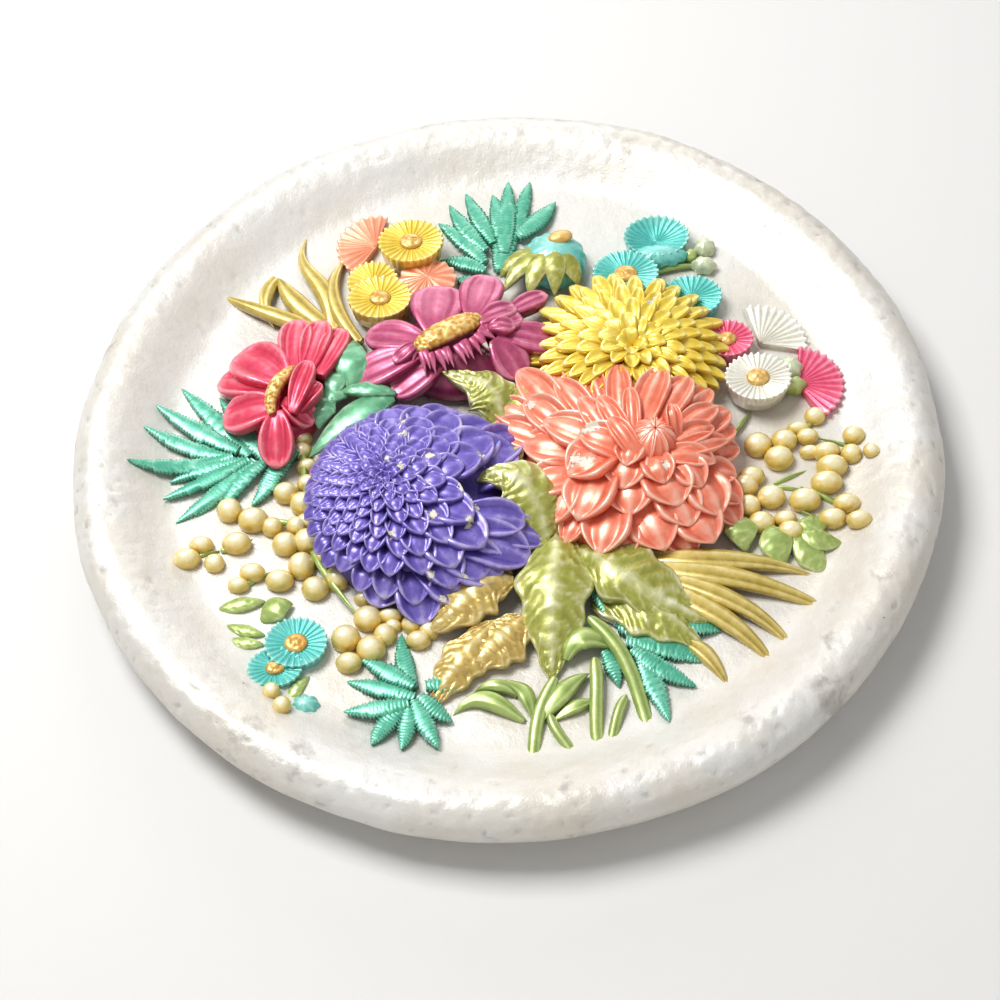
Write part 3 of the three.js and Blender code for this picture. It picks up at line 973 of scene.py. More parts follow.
@dataclass(frozen=True)
class Daisy:
    """A fluted round flower on a stout wall, or a part of one.

    Attributes:
        paint: its colour.
        at: (u, v, h) of the middle of its face.
        size: full width and depth of its face.
        ribs: flutes round the whole circle.
        hollow: how far the face dips towards its middle, in millimetres; negative domes it.
        span: first and last angle of the part that is built, in degrees.
        tilt: how far the face leans, as (du, dv) of height per millimetre.
        button: the middle button's width as a share of the face, or 0 for none.
    """

    paint: Paint
    at: tuple[float, float, float]
    size: tuple[float, float]
    ribs: int = 26
    hollow: float = 1.5
    span: tuple[float, float] = (0.0, 360.0)
    tilt: tuple[float, float] = (0.0, 0.0)
    button: float = 0.36

    def face(self) -> tuple[Array, Array]:
        """The fluted disc with its side wall.

        The face is lathe-like: a radius from 0 to 1 at every angle, dished by a parabola, with flutes of
        cos(ribs angle) that deepen outwards and a scalloped edge, over a wall that runs down into the dish.

        Returns:
            Points of shape (1, rows, cols, 3) and their tones.
        """
        whole = self.span[1] - self.span[0] >= 360.0
        per_rib = 6
        cols = self.ribs * per_rib
        angle = np.radians(self.span[0]) + np.radians(self.span[1] - self.span[0]) * np.arange(cols) / cols
        if not whole:
            used = int(cols * (self.span[1] - self.span[0]) / 360.0)
            fan = np.radians(np.linspace(self.span[0], self.span[1], used))
            angle = np.concatenate([fan, [fan[-1], fan[0]]])
        flute = np.cos(self.ribs * angle)
        wall = np.array([0.0, 0.9, 0.95, 0.985])
        face = np.array([1.0, 1.0, 0.985, 0.95, 0.9, 0.82, 0.72, 0.62, 0.52, 0.42, 0.32, 0.22, 0.12, 0.0])
        share = np.concatenate([wall, face])[:, None] * np.ones_like(angle)
        if not whole:
            share[:, -2:] *= 0.02
        drop = np.concatenate([[-9.0, -9.0, -4.0, -1.6], [-0.9, -0.3], np.zeros(12)])[:, None]
        u = self.size[0] / 2.0 * share * np.cos(angle)
        v = self.size[1] / 2.0 * share * np.sin(angle)
        scallop = 1.0 + 0.03 * flute * (share > 0.9) * (0.25 + 0.75 * (drop > -2.0))
        dish = -self.hollow * (1.0 - share**2) + 0.45 * flute * share**0.7 * (drop > -1.0)
        height = drop + dish * (drop > -2.0) + self.tilt[0] * u + self.tilt[1] * v
        points = np.stack([self.at[0] + u * scallop, self.at[1] + v * scallop, self.at[2] + height], axis=-1)
        # Painted shade and painted highlight: darker towards the middle and on the side wall below the face,
        # lighter on the flute crests and the scalloped edge.
        tone = 0.3 + 0.2 * share + 0.18 * flute * share * (drop > -1.0)
        tone = tone + 0.15 * (share > 0.9) - 0.2 * (drop < -1.0)
        return points[None], tone[None]

    def knob(self) -> tuple[Array, Array]:
        """The stippled button in the middle."""
        width = self.button * self.size[0]
        depth = self.button * self.size[1]
        middle = (self.at[0], self.at[1], self.at[2] - 0.7 * self.hollow)

        def stipple(ball: Array) -> Array:
            ring = np.exp(-(((np.hypot(ball[..., 0], ball[..., 1]) - 0.55) / 0.12) ** 2))
            return 0.25 * NOISE.at(ball * width + self.at[0], 1.1) - 0.35 * ring * (ball[..., 2] > 0)

        grid = dome_surface(middle, (width, depth, 3.2), 0.0, 20, 32, stipple)
        return grid, 0.55 + 0.35 * NOISE.at(grid, 1.2)


DAISIES = (
    Daisy(Paint.YELLOW, (-33.0, 94.0, 25.0), (26.0, 22.0), 28, 1.2),
    Daisy(Paint.YELLOW, (-46.0, 66.0, 25.0), (25.0, 21.0), 26, 1.2, button=0.34),
    Daisy(Paint.YELLOW, (-49.0, 78.0, 20.5), (20.0, 20.0), 24, 1.0, button=0.0),
    Daisy(Paint.PEACH, (-27.0, 78.0, 19.5), (23.0, 20.0), 14, -1.5, button=0.0),
    Daisy(Paint.BLUE, (66.0, 92.0, 21.0), (26.0, 21.0), 26, 4.0, button=0.0),
    Daisy(Paint.BLUE, (52.0, 74.0, 21.0), (26.0, 22.0), 28, 1.5),
    Daisy(Paint.BLUE, (77.0, 61.0, 20.0), (24.0, 20.0), 26, 1.5, button=0.0),
    Daisy(Paint.PINK, (88.5, 38.0, 21.0), (20.0, 17.5), 22, 1.2),
    Daisy(Paint.WHITE, (97.5, 16.0, 24.5), (25.0, 22.0), 30, 1.2),
    Daisy(Paint.BLUE, (-79.5, -84.0, 18.5), (22.5, 20.0), 26, 1.5, button=0.38),
    Daisy(Paint.BLUE, (-87.0, -93.0, 17.5), (19.5, 15.5), 24, 1.2, button=0.36),
    Daisy(Paint.PEACH, (-47.5, 99.0, 17.0), (32.0, 32.0), 26, 0.5, (72.0, 238.0), button=0.0),
    Daisy(Paint.WHITE, (101.5, 38.0, 17.0), (36.0, 36.0), 34, 1.0, (-18.0, 105.0), button=0.0),
    Daisy(Paint.PINK, (113.5, 17.0, 17.0), (35.0, 35.0), 32, 0.5, (-68.0, 82.0), button=0.0),
)


# ---- Berries -------------------------------------------------------------------------------------

BERRIES = np.array(
    [
        (-105, -24, 9.5, 9.5), (-96, -29, 11.5, 9.5), (-89, -32, 8, 7.5), (-84, -17, 9.5, 8.5),
        (-78, -22, 9, 9), (-76, -13, 8, 7.5), (-76, -5, 8.5, 6), (-78, 2, 8, 7), (-78, 8, 8, 6),
        (-80, -32, 8, 7.5), (-84, -40, 10, 9), (-76, -39, 10, 9.5), (-76, -30, 9, 6), (-69, -46, 9, 9.5),
        (-65, -56, 9, 10), (-78, -50, 10, 10.5), (-73, -60, 10, 9), (-86, -56, 10.5, 8), (-96, -52, 9.5, 7),
        (-101, -57, 8, 5.5), (-102, -39, 11, 8), (-115, -39, 9, 6.5), (-120, -45, 10, 7.5),
        (-110, -47, 7.5, 7), (-55, -65, 8, 5), (-54, -74, 10.5, 9.5), (-46, -73, 9, 6),
        (-62, -82, 10.5, 10), (-53, -87, 10.5, 10), (-61, -92, 9.5, 7.5), (-48, -81, 8, 8.5),
        (-45, -77, 6, 5), (-38, -77, 8, 7), (-36, -84, 9, 7), (-32, -80, 8, 7), (95, -9, 10.5, 9.5),
        (105, -8, 10, 8.5), (102, -16, 11, 9.5), (111, -3, 9, 5), (118, 2, 8, 7), (114, -7, 8.5, 6),
        (114, -14, 8, 5), (120, -15, 10.5, 7), (121, -22, 12, 8.5), (118, -29, 12, 8.5), (109, -36, 12, 9),
        (91, -23, 10, 7.5), (88, -27, 10, 8.5), (97, -33, 10.5, 9), (88, -36, 9.5, 8.5), (92, -44, 10, 8.5),
        (101, -43, 8.5, 6), (102, -49, 10, 8), (118, -45, 10.5, 7.5), (124, -39, 10, 7),
        (127, -48, 9.5, 6.5), (131, -9, 8.5, 7), (129, -17, 8, 7.5), (136, -18, 6, 5.5), (-88, -103, 6, 6),
        (-84, -110, 6.5, 6.5),
    ]
)


@dataclass
class BerryBunches:
    """Egg-shaped berries half sunk into the dish, all alike but for their sizes.

    Attributes:
        places: rows of (u, v, width, depth).
    """

    places: Array

    def relief(self) -> Relief:
        """All berries: unit balls scaled and moved as whole arrays."""
        u, v, width, depth = self.places.T
        tall = (width + depth) / 2.0
        ball = dome_surface((0.0, 0.0, 0.0), (2.0, 2.0, 2.0), 0.0, 14, 20)[0]
        scale = np.stack([width, depth, tall * 1.05], axis=-1)[:, None, None, :] / 2.0 + 0.1
        middle = np.stack([u, v, ground_height(u, v) + tall * 0.22], axis=-1)[:, None, None, :]
        # Painted highlight: each berry is lighter towards its top, with a bright cap, and darker at its foot.
        tone = 0.3 + 0.35 * ball[..., 2] + 0.25 * smoothstep(0.6, 1.0, ball[..., 2])
        return Relief().add(ball[None] * scale + middle, tone[None])


# ---- Ferns, leaves, blades and stems -------------------------------------------------------------

FERN_LEAFLETS = np.array(
    [
        (-4, 84, -22, 92, 9), (-4, 88, -22, 111, 10), (-3, 94, -17, 120, 9), (0, 98, -10, 126, 9),
        (2, 100, 1, 124, 9), (4, 92, 8, 130, 11), (8, 100, 17, 130, 9), (10, 100, 27, 118, 10),
        (2, 84, 10, 112, 12), (-6, 76, -16, 82, 9), (2, 84, 12, 94, 9), (-92, -2, -110, 29, 10),
        (-98, 0, -125, 34, 10), (-102, 2, -134, 24, 10), (-106, 0, -138, 14, 9), (-104, 0, -143, -3, 9),
        (-100, -2, -128, -10, 8), (-98, -2, -130, -18, 8), (-96, -2, -125, -28, 9), (-92, -3, -117, -25, 8),
        (-90, -2, -109, -26, 8), (-86, -2, -97, -22, 9), (-82, 0, -90, -14, 8), (-80, -2, -102, 14, 14),
        (-38, -104, -42, -80, 8), (-38, -104, -57, -90, 9), (-38, -108, -62, -99, 9),
        (-40, -111, -63, -112, 9), (-42, -112, -53, -127, 9), (-40, -112, -43, -129, 8),
        (-38, -110, -30, -129, 9), (-36, -108, -25, -118, 9), (-34, -104, -18, -104, 9),
        (38, -90, 64, -100, 12), (40, -94, 61, -110, 10), (42, -96, 50, -124, 10), (36, -84, 54, -88, 10),
        (58, -86, 72, -88, 8), (28, -68, 36, -84, 8), (24, -84, 34, -88, 8), (30, -94, 34, -108, 8),
    ],
    dtype=float,
)


@dataclass
class FernFronds:
    """Feathered fern leaflets that lie close to the dish.

    Attributes:
        leaflets: rows of (foot u, foot v, tip u, tip v, width).
        strip: the body of a leaflet.
        seed: starts the small irregularities.
    """

    leaflets: Array
    strip: Strip
    seed: int = 3

    def relief(self) -> Relief:
        """All leaflets, each on a route that bows a little sideways and sinks towards its tip."""
        dice = np.random.default_rng(self.seed)
        foot, tip, width = self.leaflets[:, :2], self.leaflets[:, 2:4], 0.92 * self.leaflets[:, 4]
        aside = (tip - foot)[:, ::-1] * np.array([-1.0, 1.0]) * dice.uniform(-0.07, 0.07, (len(tip), 1))
        flat = np.stack([foot, (foot + tip) / 2.0 + aside, tip], axis=1)
        ground = ground_height(flat[..., 0], flat[..., 1])
        above = np.array(FERN_ABOVE) + dice.uniform(-0.6, 1.2, (len(tip), 1))
        route = np.concatenate([flat, (ground + above)[..., None]], axis=-1)
        return Relief().add(*self.strip.carve(route, width))


@dataclass(frozen=True)
class StripGroup:
    """Strips of one kind that share a piece.

    Attributes:
        rows: rows of (width, point, point, ...), all with as many points.
        strip: their body.
        lean: how far the middle line is moved towards one edge.
    """

    rows: Sequence[tuple]
    strip: Strip
    lean: float = 0.0

    def add_to(self, relief: Relief) -> Relief:
        """Adds the strips to a relief."""
        routes, widths = routes_of(self.rows)
        return relief.add(*self.strip.carve(routes, widths, lean=self.lean))


LEAF_PLAN = Plan(root=0.4, shoulder=0.42, blunt=1.4, tip=0.9, lobes=3.5, lobe_depth=0.11)
SMOOTH_LEAF_PLAN = Plan(root=0.3, shoulder=0.5, blunt=1.5, tip=0.9)
BLADE_PLAN = Plan(root=0.75, shoulder=0.3, blunt=1.3, tip=1.0)
STEM_PLAN = Plan(root=0.95, shoulder=0.5, blunt=6.0, tip=0.4)

LEAF = Strip(
    LEAF_PLAN, leaf_carving(8.0, 1.3, 0.4), rows=72, cols=44, crown=0.8, sole=5.0, cup=-0.28, sharp=0.6
)
SMALL_LEAF = Strip(SMOOTH_LEAF_PLAN, leaf_carving(5.0, 0.4, 0.1), rows=30, cols=22, sole=3.0, cup=-0.2)
BLADE = Strip(BLADE_PLAN, blade_carving(0.7), rows=40, cols=18, sole=3.5, cup=-0.25)
STEM = Strip(STEM_PLAN, blade_carving(0.25), rows=30, cols=14, crown=1.6, sole=3.0, cup=0.0, sharp=0.9)

OLIVE_LEAVES = (
    StripGroup(
        (
            (27, (16, -44, 16), (14, -66, 24), (12, -86, 20), (10.5, -104, 14.5)),
            (20, (0, 2, 18), (-3, 13, 25), (-9, 20, 26), (-23, 27, 25)),
            (25, (13, -48, 19), (9, -37, 27), (2, -27, 30), (-12, -27, 29)),
        ),
        LEAF,
    ),
    StripGroup(((26, (22, -49, 14), (38, -63, 24), (53, -75, 21), (69, -85, 16)),), LEAF, -0.3),
    StripGroup(((17, (28, -72, 13), (43, -80, 19), (55, -87, 18), (66, -96, 14)),), LEAF, 0.3),
    StripGroup(
        (
            (15, (2, 8, 21), (8, 13, 24), (13, 22, 22)), (14, (2, -19, 22), (0, -14, 25), (-2, -10, 24)),
        ),
        Strip(SMOOTH_LEAF_PLAN, leaf_carving(6.0, 0.6), rows=40, cols=30, sole=5.0, cup=-0.25),
    ),
)

TAN_LEAVES = (
    StripGroup(
        (
            (17, (-9, -82, 18), (-19, -93, 18.5), (-26, -102, 17), (-33, -112, 14)),
            (20, (2, -80, 18), (-5, -87, 19), (-12, -93, 18), (-19, -100, 15)),
            (21, (-1, -64, 19), (-13, -68, 22), (-22, -76, 21), (-33, -81, 15)),
        ),
        LEAF,
    ),
)

BERRY_LEAVES = (
    StripGroup(
        (
            (13, (84, -42, 16), (84, -48, 18), (85, -56, 14)),
            (13, (95, -47, 16), (96, -55, 18), (98, -63, 14)),
            (11, (103, -52, 16), (108, -60, 16), (113, -67, 13)),
            (9, (106, -50, 16), (112, -54, 17), (121, -55, 14)),
            (8, (105, -46, 16), (111, -47, 17), (117, -44, 14)),
        ),
        SMALL_LEAF,
    ),
    StripGroup(
        (
            (6, (-108, -66, 13), (-100, -65, 15), (-91, -64, 14)),
            (10, (-92, -72, 13), (-87, -68, 16), (-81, -66, 14)),
            (5, (-105, -73, 13), (-98, -76, 14.5), (-91, -78, 14)),
            (5, (-104, -79, 13), (-98, -81, 14.5), (-91, -82, 14)),
            (4, (-104, -95, 13), (-100, -95, 14.5), (-95, -95, 14)),
            (5, (-101, -104, 13), (-96, -101, 15), (-91, -99, 14)),
            (5, (-82, -107, 13), (-80, -102, 15), (-75, -96, 14)),
        ),
        SMALL_LEAF,
    ),
)

GREEN_CALYX = (
    StripGroup(
        (
            (14, (-57, 24, 20), (-58, 37, 25), (-57, 49, 19)),
            (10, (-65, 22, 20), (-69, 16, 22), (-71, 9, 17)),
            (8.5, (-66, 20, 20), (-64, 28, 23), (-62, 36, 19)),
            (7, (-60, 22, 20), (-67, 21, 22), (-75, 19, 17)),
            (6.5, (-41, 20, 22), (-52, 22, 24), (-63, 23, 21)),
            (13, (-42, 19, 21), (-57, 11, 22), (-75, -2, 15)),
        ),
        SMALL_LEAF,
    ),
)

OLIVE_CALYX = (
    StripGroup(
        (
            (8, (24, 84, 24), (12, 80, 23), (3, 70, 18)), (9, (24, 84, 25), (17, 77, 24), (13, 66, 18)),
            (9, (24, 84, 25), (24, 76, 25), (23, 66, 18)), (8, (24, 84, 25), (30, 77, 24), (33, 70, 18)),
            (7, (22, 84, 24), (10, 84, 22), (2, 78, 17)),
        ),
        SMALL_LEAF,
    ),
)

GOLD_BLADES = (
    StripGroup(
        (
            (8, (-66, 58, 16), (-70, 79, 18), (-77, 92, 17), (-75, 110, 14)),
            (6.5, (-55, 50, 17), (-65, 72, 18), (-64, 86, 17), (-60, 97, 14)),
            (7, (-75, 60, 16), (-88, 66, 18), (-101, 73, 17), (-112, 82, 13)),
            (9, (-68, 60, 16), (-80, 72, 18), (-85, 80, 18), (-88, 86, 16)),
            (6, (-88, 85, 17), (-92, 77, 18), (-92, 69, 17), (-89, 62, 14)),
            (8.5, (46, -55, 15), (72, -60, 19), (95, -63, 16), (111, -70, 12.5)),
            (9, (46, -60, 15), (74, -67, 19), (100, -76, 16), (119, -89, 13)),
            (7.5, (50, -62, 14), (74, -76, 19), (91, -89, 16), (100, -107, 13)),
            (9, (50, -66, 14), (68, -80, 18), (83, -94, 16), (91, -111, 12.5)),
            (6.5, (61, -93, 15), (66, -98, 16), (70, -105, 15), (73, -112, 12.5)),
        ),
        BLADE,
    ),
)

STEMS = (
    StripGroup(
        (
            (5, (2, -136, 13), (4, -122, 15), (7, -113, 16), (12, -104, 17)),
            (4, (18, -136, 12.5), (14, -129, 14), (11, -124, 15), (9, -118, 15)),
            (5, (25, -131, 12.5), (25, -120, 15), (26, -109, 17), (26, -98, 18)),
            (4, (29, -131, 12.5), (31, -124, 14), (33, -118, 15), (36, -112, 14)),
            (5.5, (43, -124, 12.5), (40, -109, 15), (35, -95, 18), (25, -82, 19)),
        ),
        STEM,
    ),
    StripGroup(
        (
            (9, (16, -97, 16), (20, -91, 19), (26, -90, 19), (35, -94, 15)),
            (7, (0, -119, 14), (-8, -113, 16.5), (-16, -110, 16), (-25, -115, 13)),
            (5, (-2, -109, 14), (-6, -106, 16), (-11, -105, 16), (-17, -106, 13)),
            (7.5, (6, -119, 15), (11, -113, 17), (17, -107, 17), (24, -102, 14)),
            (5, (11, -119, 14), (16, -116, 15.5), (21, -114, 15.5), (26, -113, 13)),
            (6, (-6, -103, 14), (0, -108, 17), (2, -113, 17), (4, -121, 14)),
        ),
        Strip(SMOOTH_LEAF_PLAN, blade_carving(0.5), rows=40, cols=18, sole=3.5, cup=-0.2),
    ),
)

TWIGS = (
    StripGroup(
        (
            (2.5, (-124, -46, 12), (-116, -43, 14), (-108, -41, 14)),
            (2.5, (-108, -41, 14), (-102, -40, 14.5), (-96, -37, 14.5)),
            (2.5, (-110, -26, 12), (-104, -25, 13), (-96, -28, 14)),
            (2.5, (-101, -58, 12), (-96, -55, 14), (-88, -52, 15)),
            (2.5, (-92, -30, 14), (-84, -31, 15), (-78, -36, 16)),
            (3, (-78, 6, 14), (-77, -10, 15), (-76, -30, 16)),
            (3, (-74, -44, 15), (-66, -60, 16), (-54, -78, 15)),
            (2.5, (136, -19, 12), (130, -13, 14), (118, -8, 15)),
            (2.5, (124, -40, 13), (116, -34, 15), (108, -30, 16)),
            (2.5, (128, -49, 12), (116, -45, 14), (104, -38, 15)),
            (2.5, (119, 4, 13), (113, -4, 15), (106, -12, 16)),
            (1.8, (99, -26, 12), (107, -23, 13), (115, -20, 11)),
            (1.8, (99, -27, 12), (106, -29, 13), (113, -30, 11)),
            (1.8, (87, -2, 13), (91, 3, 14), (95, 8, 12)),
            (2, (-95, -98, 13), (-86, -100, 14), (-80, -96, 15)),
            (2.2, (64, 78, 14), (75, 80, 15), (85, 79, 14)),
            (2.2, (66, 79, 14), (76, 86, 15), (86, 88, 14)),
            (2.2, (52, 86, 13), (56, 84, 15), (60, 80, 14)),
            (2, (101, 22, 14), (107, 22, 16), (112, 24, 16)),
        ),
        Strip(BLADE_PLAN, blade_carving(0.15), rows=16, cols=10, crown=1.0, sole=2.0, cup=0.0, sharp=1.0),
    ),
)


@dataclass(frozen=True)
class Bud:
    """A grooved ball.

    Attributes:
        middle: its middle.
        size: its full sizes.
        turn: degrees about h.
        grooves: how many grooves run from its middle over its sides.
    """

    middle: tuple[float, float, float]
    size: tuple[float, float, float]
    turn: float = 0.0
    grooves: int = 0

    def grid(self) -> tuple[Array, Array]:
        """The ball, with grooves of cos(grooves angle) about h that fade at the top."""

        def groove(ball: Array) -> Array:
            around = np.arctan2(ball[..., 1], ball[..., 0])
            return 0.4 * np.cos(self.grooves * around) * (1.0 - ball[..., 2] ** 2) * (self.grooves > 0)

        grid = dome_surface(self.middle, self.size, self.turn, 28, 60, groove)
        # Painted highlight and painted shade: each bud is lighter towards its top and darker at its foot.
        rise = np.linspace(0.0, 1.0, 28)[:, None] * np.ones(60)
        return grid, (0.2 + 0.5 * rise)[None]


TEAL_BUD = (Bud((24.0, 85.0, 17.0), (26.0, 25.0, 20.0), 0.0, 14),)
BUD_EYE = (Bud((27.0, 89.5, 26.5), (10.0, 6.5, 4.0), 10.0),)
BLUE_BUDS = (
    Bud((-76.5, -108.0, 14.5), (10.0, 8.0, 8.0), 0.0, 8),
    Bud((66.0, 84.0, 17.0), (24.0, 10.0, 9.0), 0.0, 12),
)
PALE_BUDS = (
    Bud((85.0, 88.0, 15.5), (9.0, 8.0, 8.0), 20.0, 6),
    Bud((84.0, 79.0, 15.5), (10.0, 7.0, 8.0), -10.0, 6),
    Bud((111.0, 24.0, 17.0), (10.0, 10.0, 9.0), 0.0, 8),
)
GREEN_BUDS = (Bud((79.0, 85.0, 15.0), (6.0, 6.0, 6.0)), Bud((112.0, 16.0, 16.5), (9.0, 7.0, 8.0), 0.0, 5))


# ---- The dish ------------------------------------------------------------------------------------


@dataclass
class Dish:
    """The cast dish: flat back, rolled rough rim and gently hollow field.

    Attributes:
        cols: columns round the dish.
        field_rows: rows over the field and the rim's inner slope.
        roll_rows: rows round the rim's roll.
    """

    cols: int = 780
    field_rows: int = 84
    roll_rows: int = 26

    def profile(self) -> tuple[Array, Array]:
        """The profile as reaches and heights, from the middle of the back round the rim to the middle."""
        crest = PLAQUE_RADIUS - RIM_ROLL
        turn = np.radians(np.linspace(-60.0, 90.0, self.roll_rows))
        back = np.array([0.0, 60.0, 120.0, BACK_RADIUS - 1.0, BACK_RADIUS])
        roll = crest + RIM_ROLL * np.cos(turn)
        inner = crest * (1.0 - np.linspace(0.0, 1.0, self.field_rows)[1:] ** 1.25)
        reach = np.concatenate([back, roll, inner])
        low = np.array([0.0, 0.0, 0.0, 0.0, 0.5])
        height = np.concatenate(
            [low, RIM_HEIGHT - RIM_ROLL + RIM_ROLL * np.sin(turn), ground_height(inner, np.zeros_like(inner))]
        )
        return reach, height

    def relief(self) -> Relief:
        """The turned profile with an uneven outline, a pitted, lumpy rim and soft waves on the field."""
        reach, height = self.profile()
        angle = 2.0 * np.pi * np.arange(self.cols) / self.cols
        ring = np.stack([np.cos(angle), np.sin(angle), np.zeros_like(angle)], axis=-1)
        wander = 0.7 * NOISE.at(ring * PLAQUE_RADIUS, 38.0) + 0.5 * NOISE.at(ring * PLAQUE_RADIUS + 5.0, 14.0)
        nick = -NICK_DEPTH * np.exp(-(((np.degrees(angle) - NICK_ANGLE) / NICK_SPREAD) ** 2))
        share = smoothstep(BACK_RADIUS - 20.0, PLAQUE_RADIUS, reach)[:, None]
        far = reach[:, None] + share * (wander + nick - 0.9)
        points = np.stack(
            [far * np.cos(angle), far * np.sin(angle), np.broadcast_to(height[:, None], far.shape)], axis=-1
        )
        front = np.arange(len(reach))[:, None] >= FIRST_FRONT_ROW
        rim = smoothstep(118.0, 160.0, far) * front
        lumps = NOISE.rough(points, 4.0, 3)
        pits = -smoothstep(0.45, 0.85, NOISE.at(points + 31.0, 2.2)) - 0.5 * smoothstep(
            0.55, 0.95, NOISE.at(points + 57.0, 4.0)
        )
        waves = NOISE.rough(points + 11.0, 22.0, 2)
        bumps = NOISE.rough(points + 3.0, 6.0, 2)
        push = rim * (0.35 * lumps + 0.55 * pits) + (1.0 - rim) * front * (0.28 * waves + 0.1 * bumps)
        aside = 0.45 * rim
        out = unit(np.stack([aside * np.cos(angle), aside * np.sin(angle), np.ones_like(rim)], axis=-1))
        points = points + out * push[..., None]
        points[0] = points[0].mean(axis=0)
        points[-1] = points[-1].mean(axis=0)
        # Painted shade: the tone follows the push, so pits and hollows get low tones that the plaster finish
        # darkens.
        tone = 0.5 + 0.5 * push
        return Relief().add(points[None], tone[None])


# ---- Finishes ------------------------------------------------------------------------------------


def linear(code: str) -> tuple[float, float, float, float]:
    """An sRGB hex colour as linear red, green, blue and a full alpha."""
    shares = [int(code[k : k + 2], 16) / 255.0 for k in (1, 3, 5)]
    return (*(s / 12.92 if s <= 0.04045 else ((s + 0.055) / 1.055) ** 2.4 for s in shares), 1.0)


@dataclass
class Shading:
    """Builds one material's nodes.

    Attributes:
        material: the material.
    """

    material: bpy.types.Material

    @classmethod
    def start(cls, name: str) -> "Shading":
        """A new material with an empty node tree."""
        material = bpy.data.materials.new(name)
        material.use_nodes = True
        material.node_tree.nodes.clear()
        return cls(material)

    def node(self, kind: str, settings: dict | None = None, **inputs: object) -> bpy.types.Node:
        """Adds a node.

        Args:
            kind: the node's type without "ShaderNode".
            settings: the node's own properties.
            **inputs: values or output sockets by input name, with "_" for a blank; "n0", "n1" go by number.

        Returns:
            The node.
        """
        made = self.material.node_tree.nodes.new("ShaderNode" + kind)
        for name, value in (settings or {}).items():
            setattr(made, name, value)
        for name, value in inputs.items():
            socket = made.inputs[int(name[1:])] if name[1:].isdigit() else made.inputs[name.replace("_", " ")]
            if isinstance(value, bpy.types.NodeSocket):
                self.material.node_tree.links.new(value, socket)
            else:
                socket.default_value = value
        return made

    def noise(self, where: bpy.types.NodeSocket, grain: float, detail: float = 3.0) -> bpy.types.NodeSocket:
        """A noise from 0 to 1 whose spots are grain millimetres wide."""
        return self.node(
            "TexNoise", Vector=where, Scale=1000.0 / grain, Detail=detail, Roughness=0.6
        ).outputs["Fac"]

    def maths(self, operation: str, a: object, b: object) -> bpy.types.NodeSocket:
        """One arithmetic step on two values or sockets."""
        return self.node("Math", {"operation": operation}, n0=a, n1=b).outputs[0]

    def span(self, value: object, low: float, high: float, to_low: float = 0.0, to_high: float = 1.0):
        """A value's clamped span from low..high to to_low..to_high."""
        made = self.node("MapRange", {"clamp": True}, n0=value, n1=low, n2=high, n3=to_low, n4=to_high)
        return made.outputs[0]

    def ramp(self, value: bpy.types.NodeSocket, stops: Sequence[tuple[float, str]]) -> bpy.types.NodeSocket:
        """A colour ramp over (place, hex colour) stops."""
        made = self.node("ValToRGB", Fac=value)
        stripe = made.color_ramp
        while len(stripe.elements) < len(stops):
            stripe.elements.new(0.5)
        for element, (spot, code) in zip(stripe.elements, stops):
            element.position = spot
            element.color = linear(code)
        return made.outputs["Color"]

    def blend(self, share: object, under: object, over: object) -> bpy.types.NodeSocket:
        """The under colour where share is 0 and the over colour where it is 1."""
        made = self.node("Mix", {"data_type": "RGBA"}, n0=share, n6=under, n7=over)
        return made.outputs[2]


CHIPPED_PLASTER = "#DAD3C2"


@dataclass(frozen=True)
class MicaPaint:
    """Pearlescent mica paint brushed over cast plaster, chipped in spots, darker in recesses and lighter on
    ridges: partly a real wash and rubbed ridges, partly painted shade and painted highlight.

    Attributes:
        name: the material's name.
        deep: its colour in recesses, darker partly as painted shade.
        base: its colour on plain faces.
        light: its colour on ridges and edges, partly rubbed paint and partly painted highlight.
        glint: how metallic the mica makes it.
        roughness: how dull it is.
        stipple: height of the brush stipple in millimetres.
    """

    name: str
    deep: str
    base: str
    light: str
    glint: float = 0.3
    roughness: float = 0.36
    stipple: float = 0.04

    def material(self) -> bpy.types.Material:
        """Tone and mottle give the colour, tone painting shade in recesses and highlight on ridges; where the
        chip value and a noise are high, bare plaster shows.
        """
        shade = Shading.start(self.name)
        where = shade.node("TexCoord").outputs["Object"]
        tone = shade.node("Attribute", {"attribute_name": "tone"}).outputs["Fac"]
        chip = shade.node("Attribute", {"attribute_name": "chip"}).outputs["Fac"]
        mottle = shade.span(shade.noise(where, 3.0, 4.0), 0.3, 0.7, -0.12, 0.12)
        cloud = shade.span(shade.noise(where, 14.0, 2.0), 0.3, 0.7, -0.08, 0.08)
        level = shade.maths("ADD", shade.maths("ADD", tone, mottle), cloud)
        # Painted shade and painted highlight: the tone runs the ramp from the deep colour in recesses to the
        # light colour on ridges.
        colour = shade.ramp(level, [(0.0, self.deep), (0.45, self.base), (1.0, self.light)])
        ragged = shade.maths("ADD", chip, shade.span(shade.noise(where, 1.6, 4.0), 0.3, 0.7, -0.35, 0.35))
        bare = shade.span(ragged, 0.5, 0.56)
        colour = shade.blend(bare, colour, linear(CHIPPED_PLASTER))
        grain = shade.noise(where, 0.9, 3.0)
        rough = shade.span(grain, 0.3, 0.7, self.roughness - 0.06, self.roughness + 0.08)
        brushed = shade.maths("MULTIPLY", grain, self.stipple)
        height = shade.maths("SUBTRACT", brushed, shade.maths("MULTIPLY", bare, 0.25))
        bump = shade.node("Bump", Strength=1.0, Distance=0.001, Height=height)
        surface = shade.node(
            "BsdfPrincipled",
            Base_Color=colour,
            Metallic=shade.span(bare, 0.0, 1.0, self.glint, 0.0),
            Roughness=shade.maths("ADD", rough, shade.maths("MULTIPLY", bare, 0.4)),
            Coat_Weight=0.4,
            Coat_Roughness=0.18,
            Normal=bump.outputs["Normal"],
        )
        shade.node("OutputMaterial", Surface=surface.outputs[0])
        return shade.material


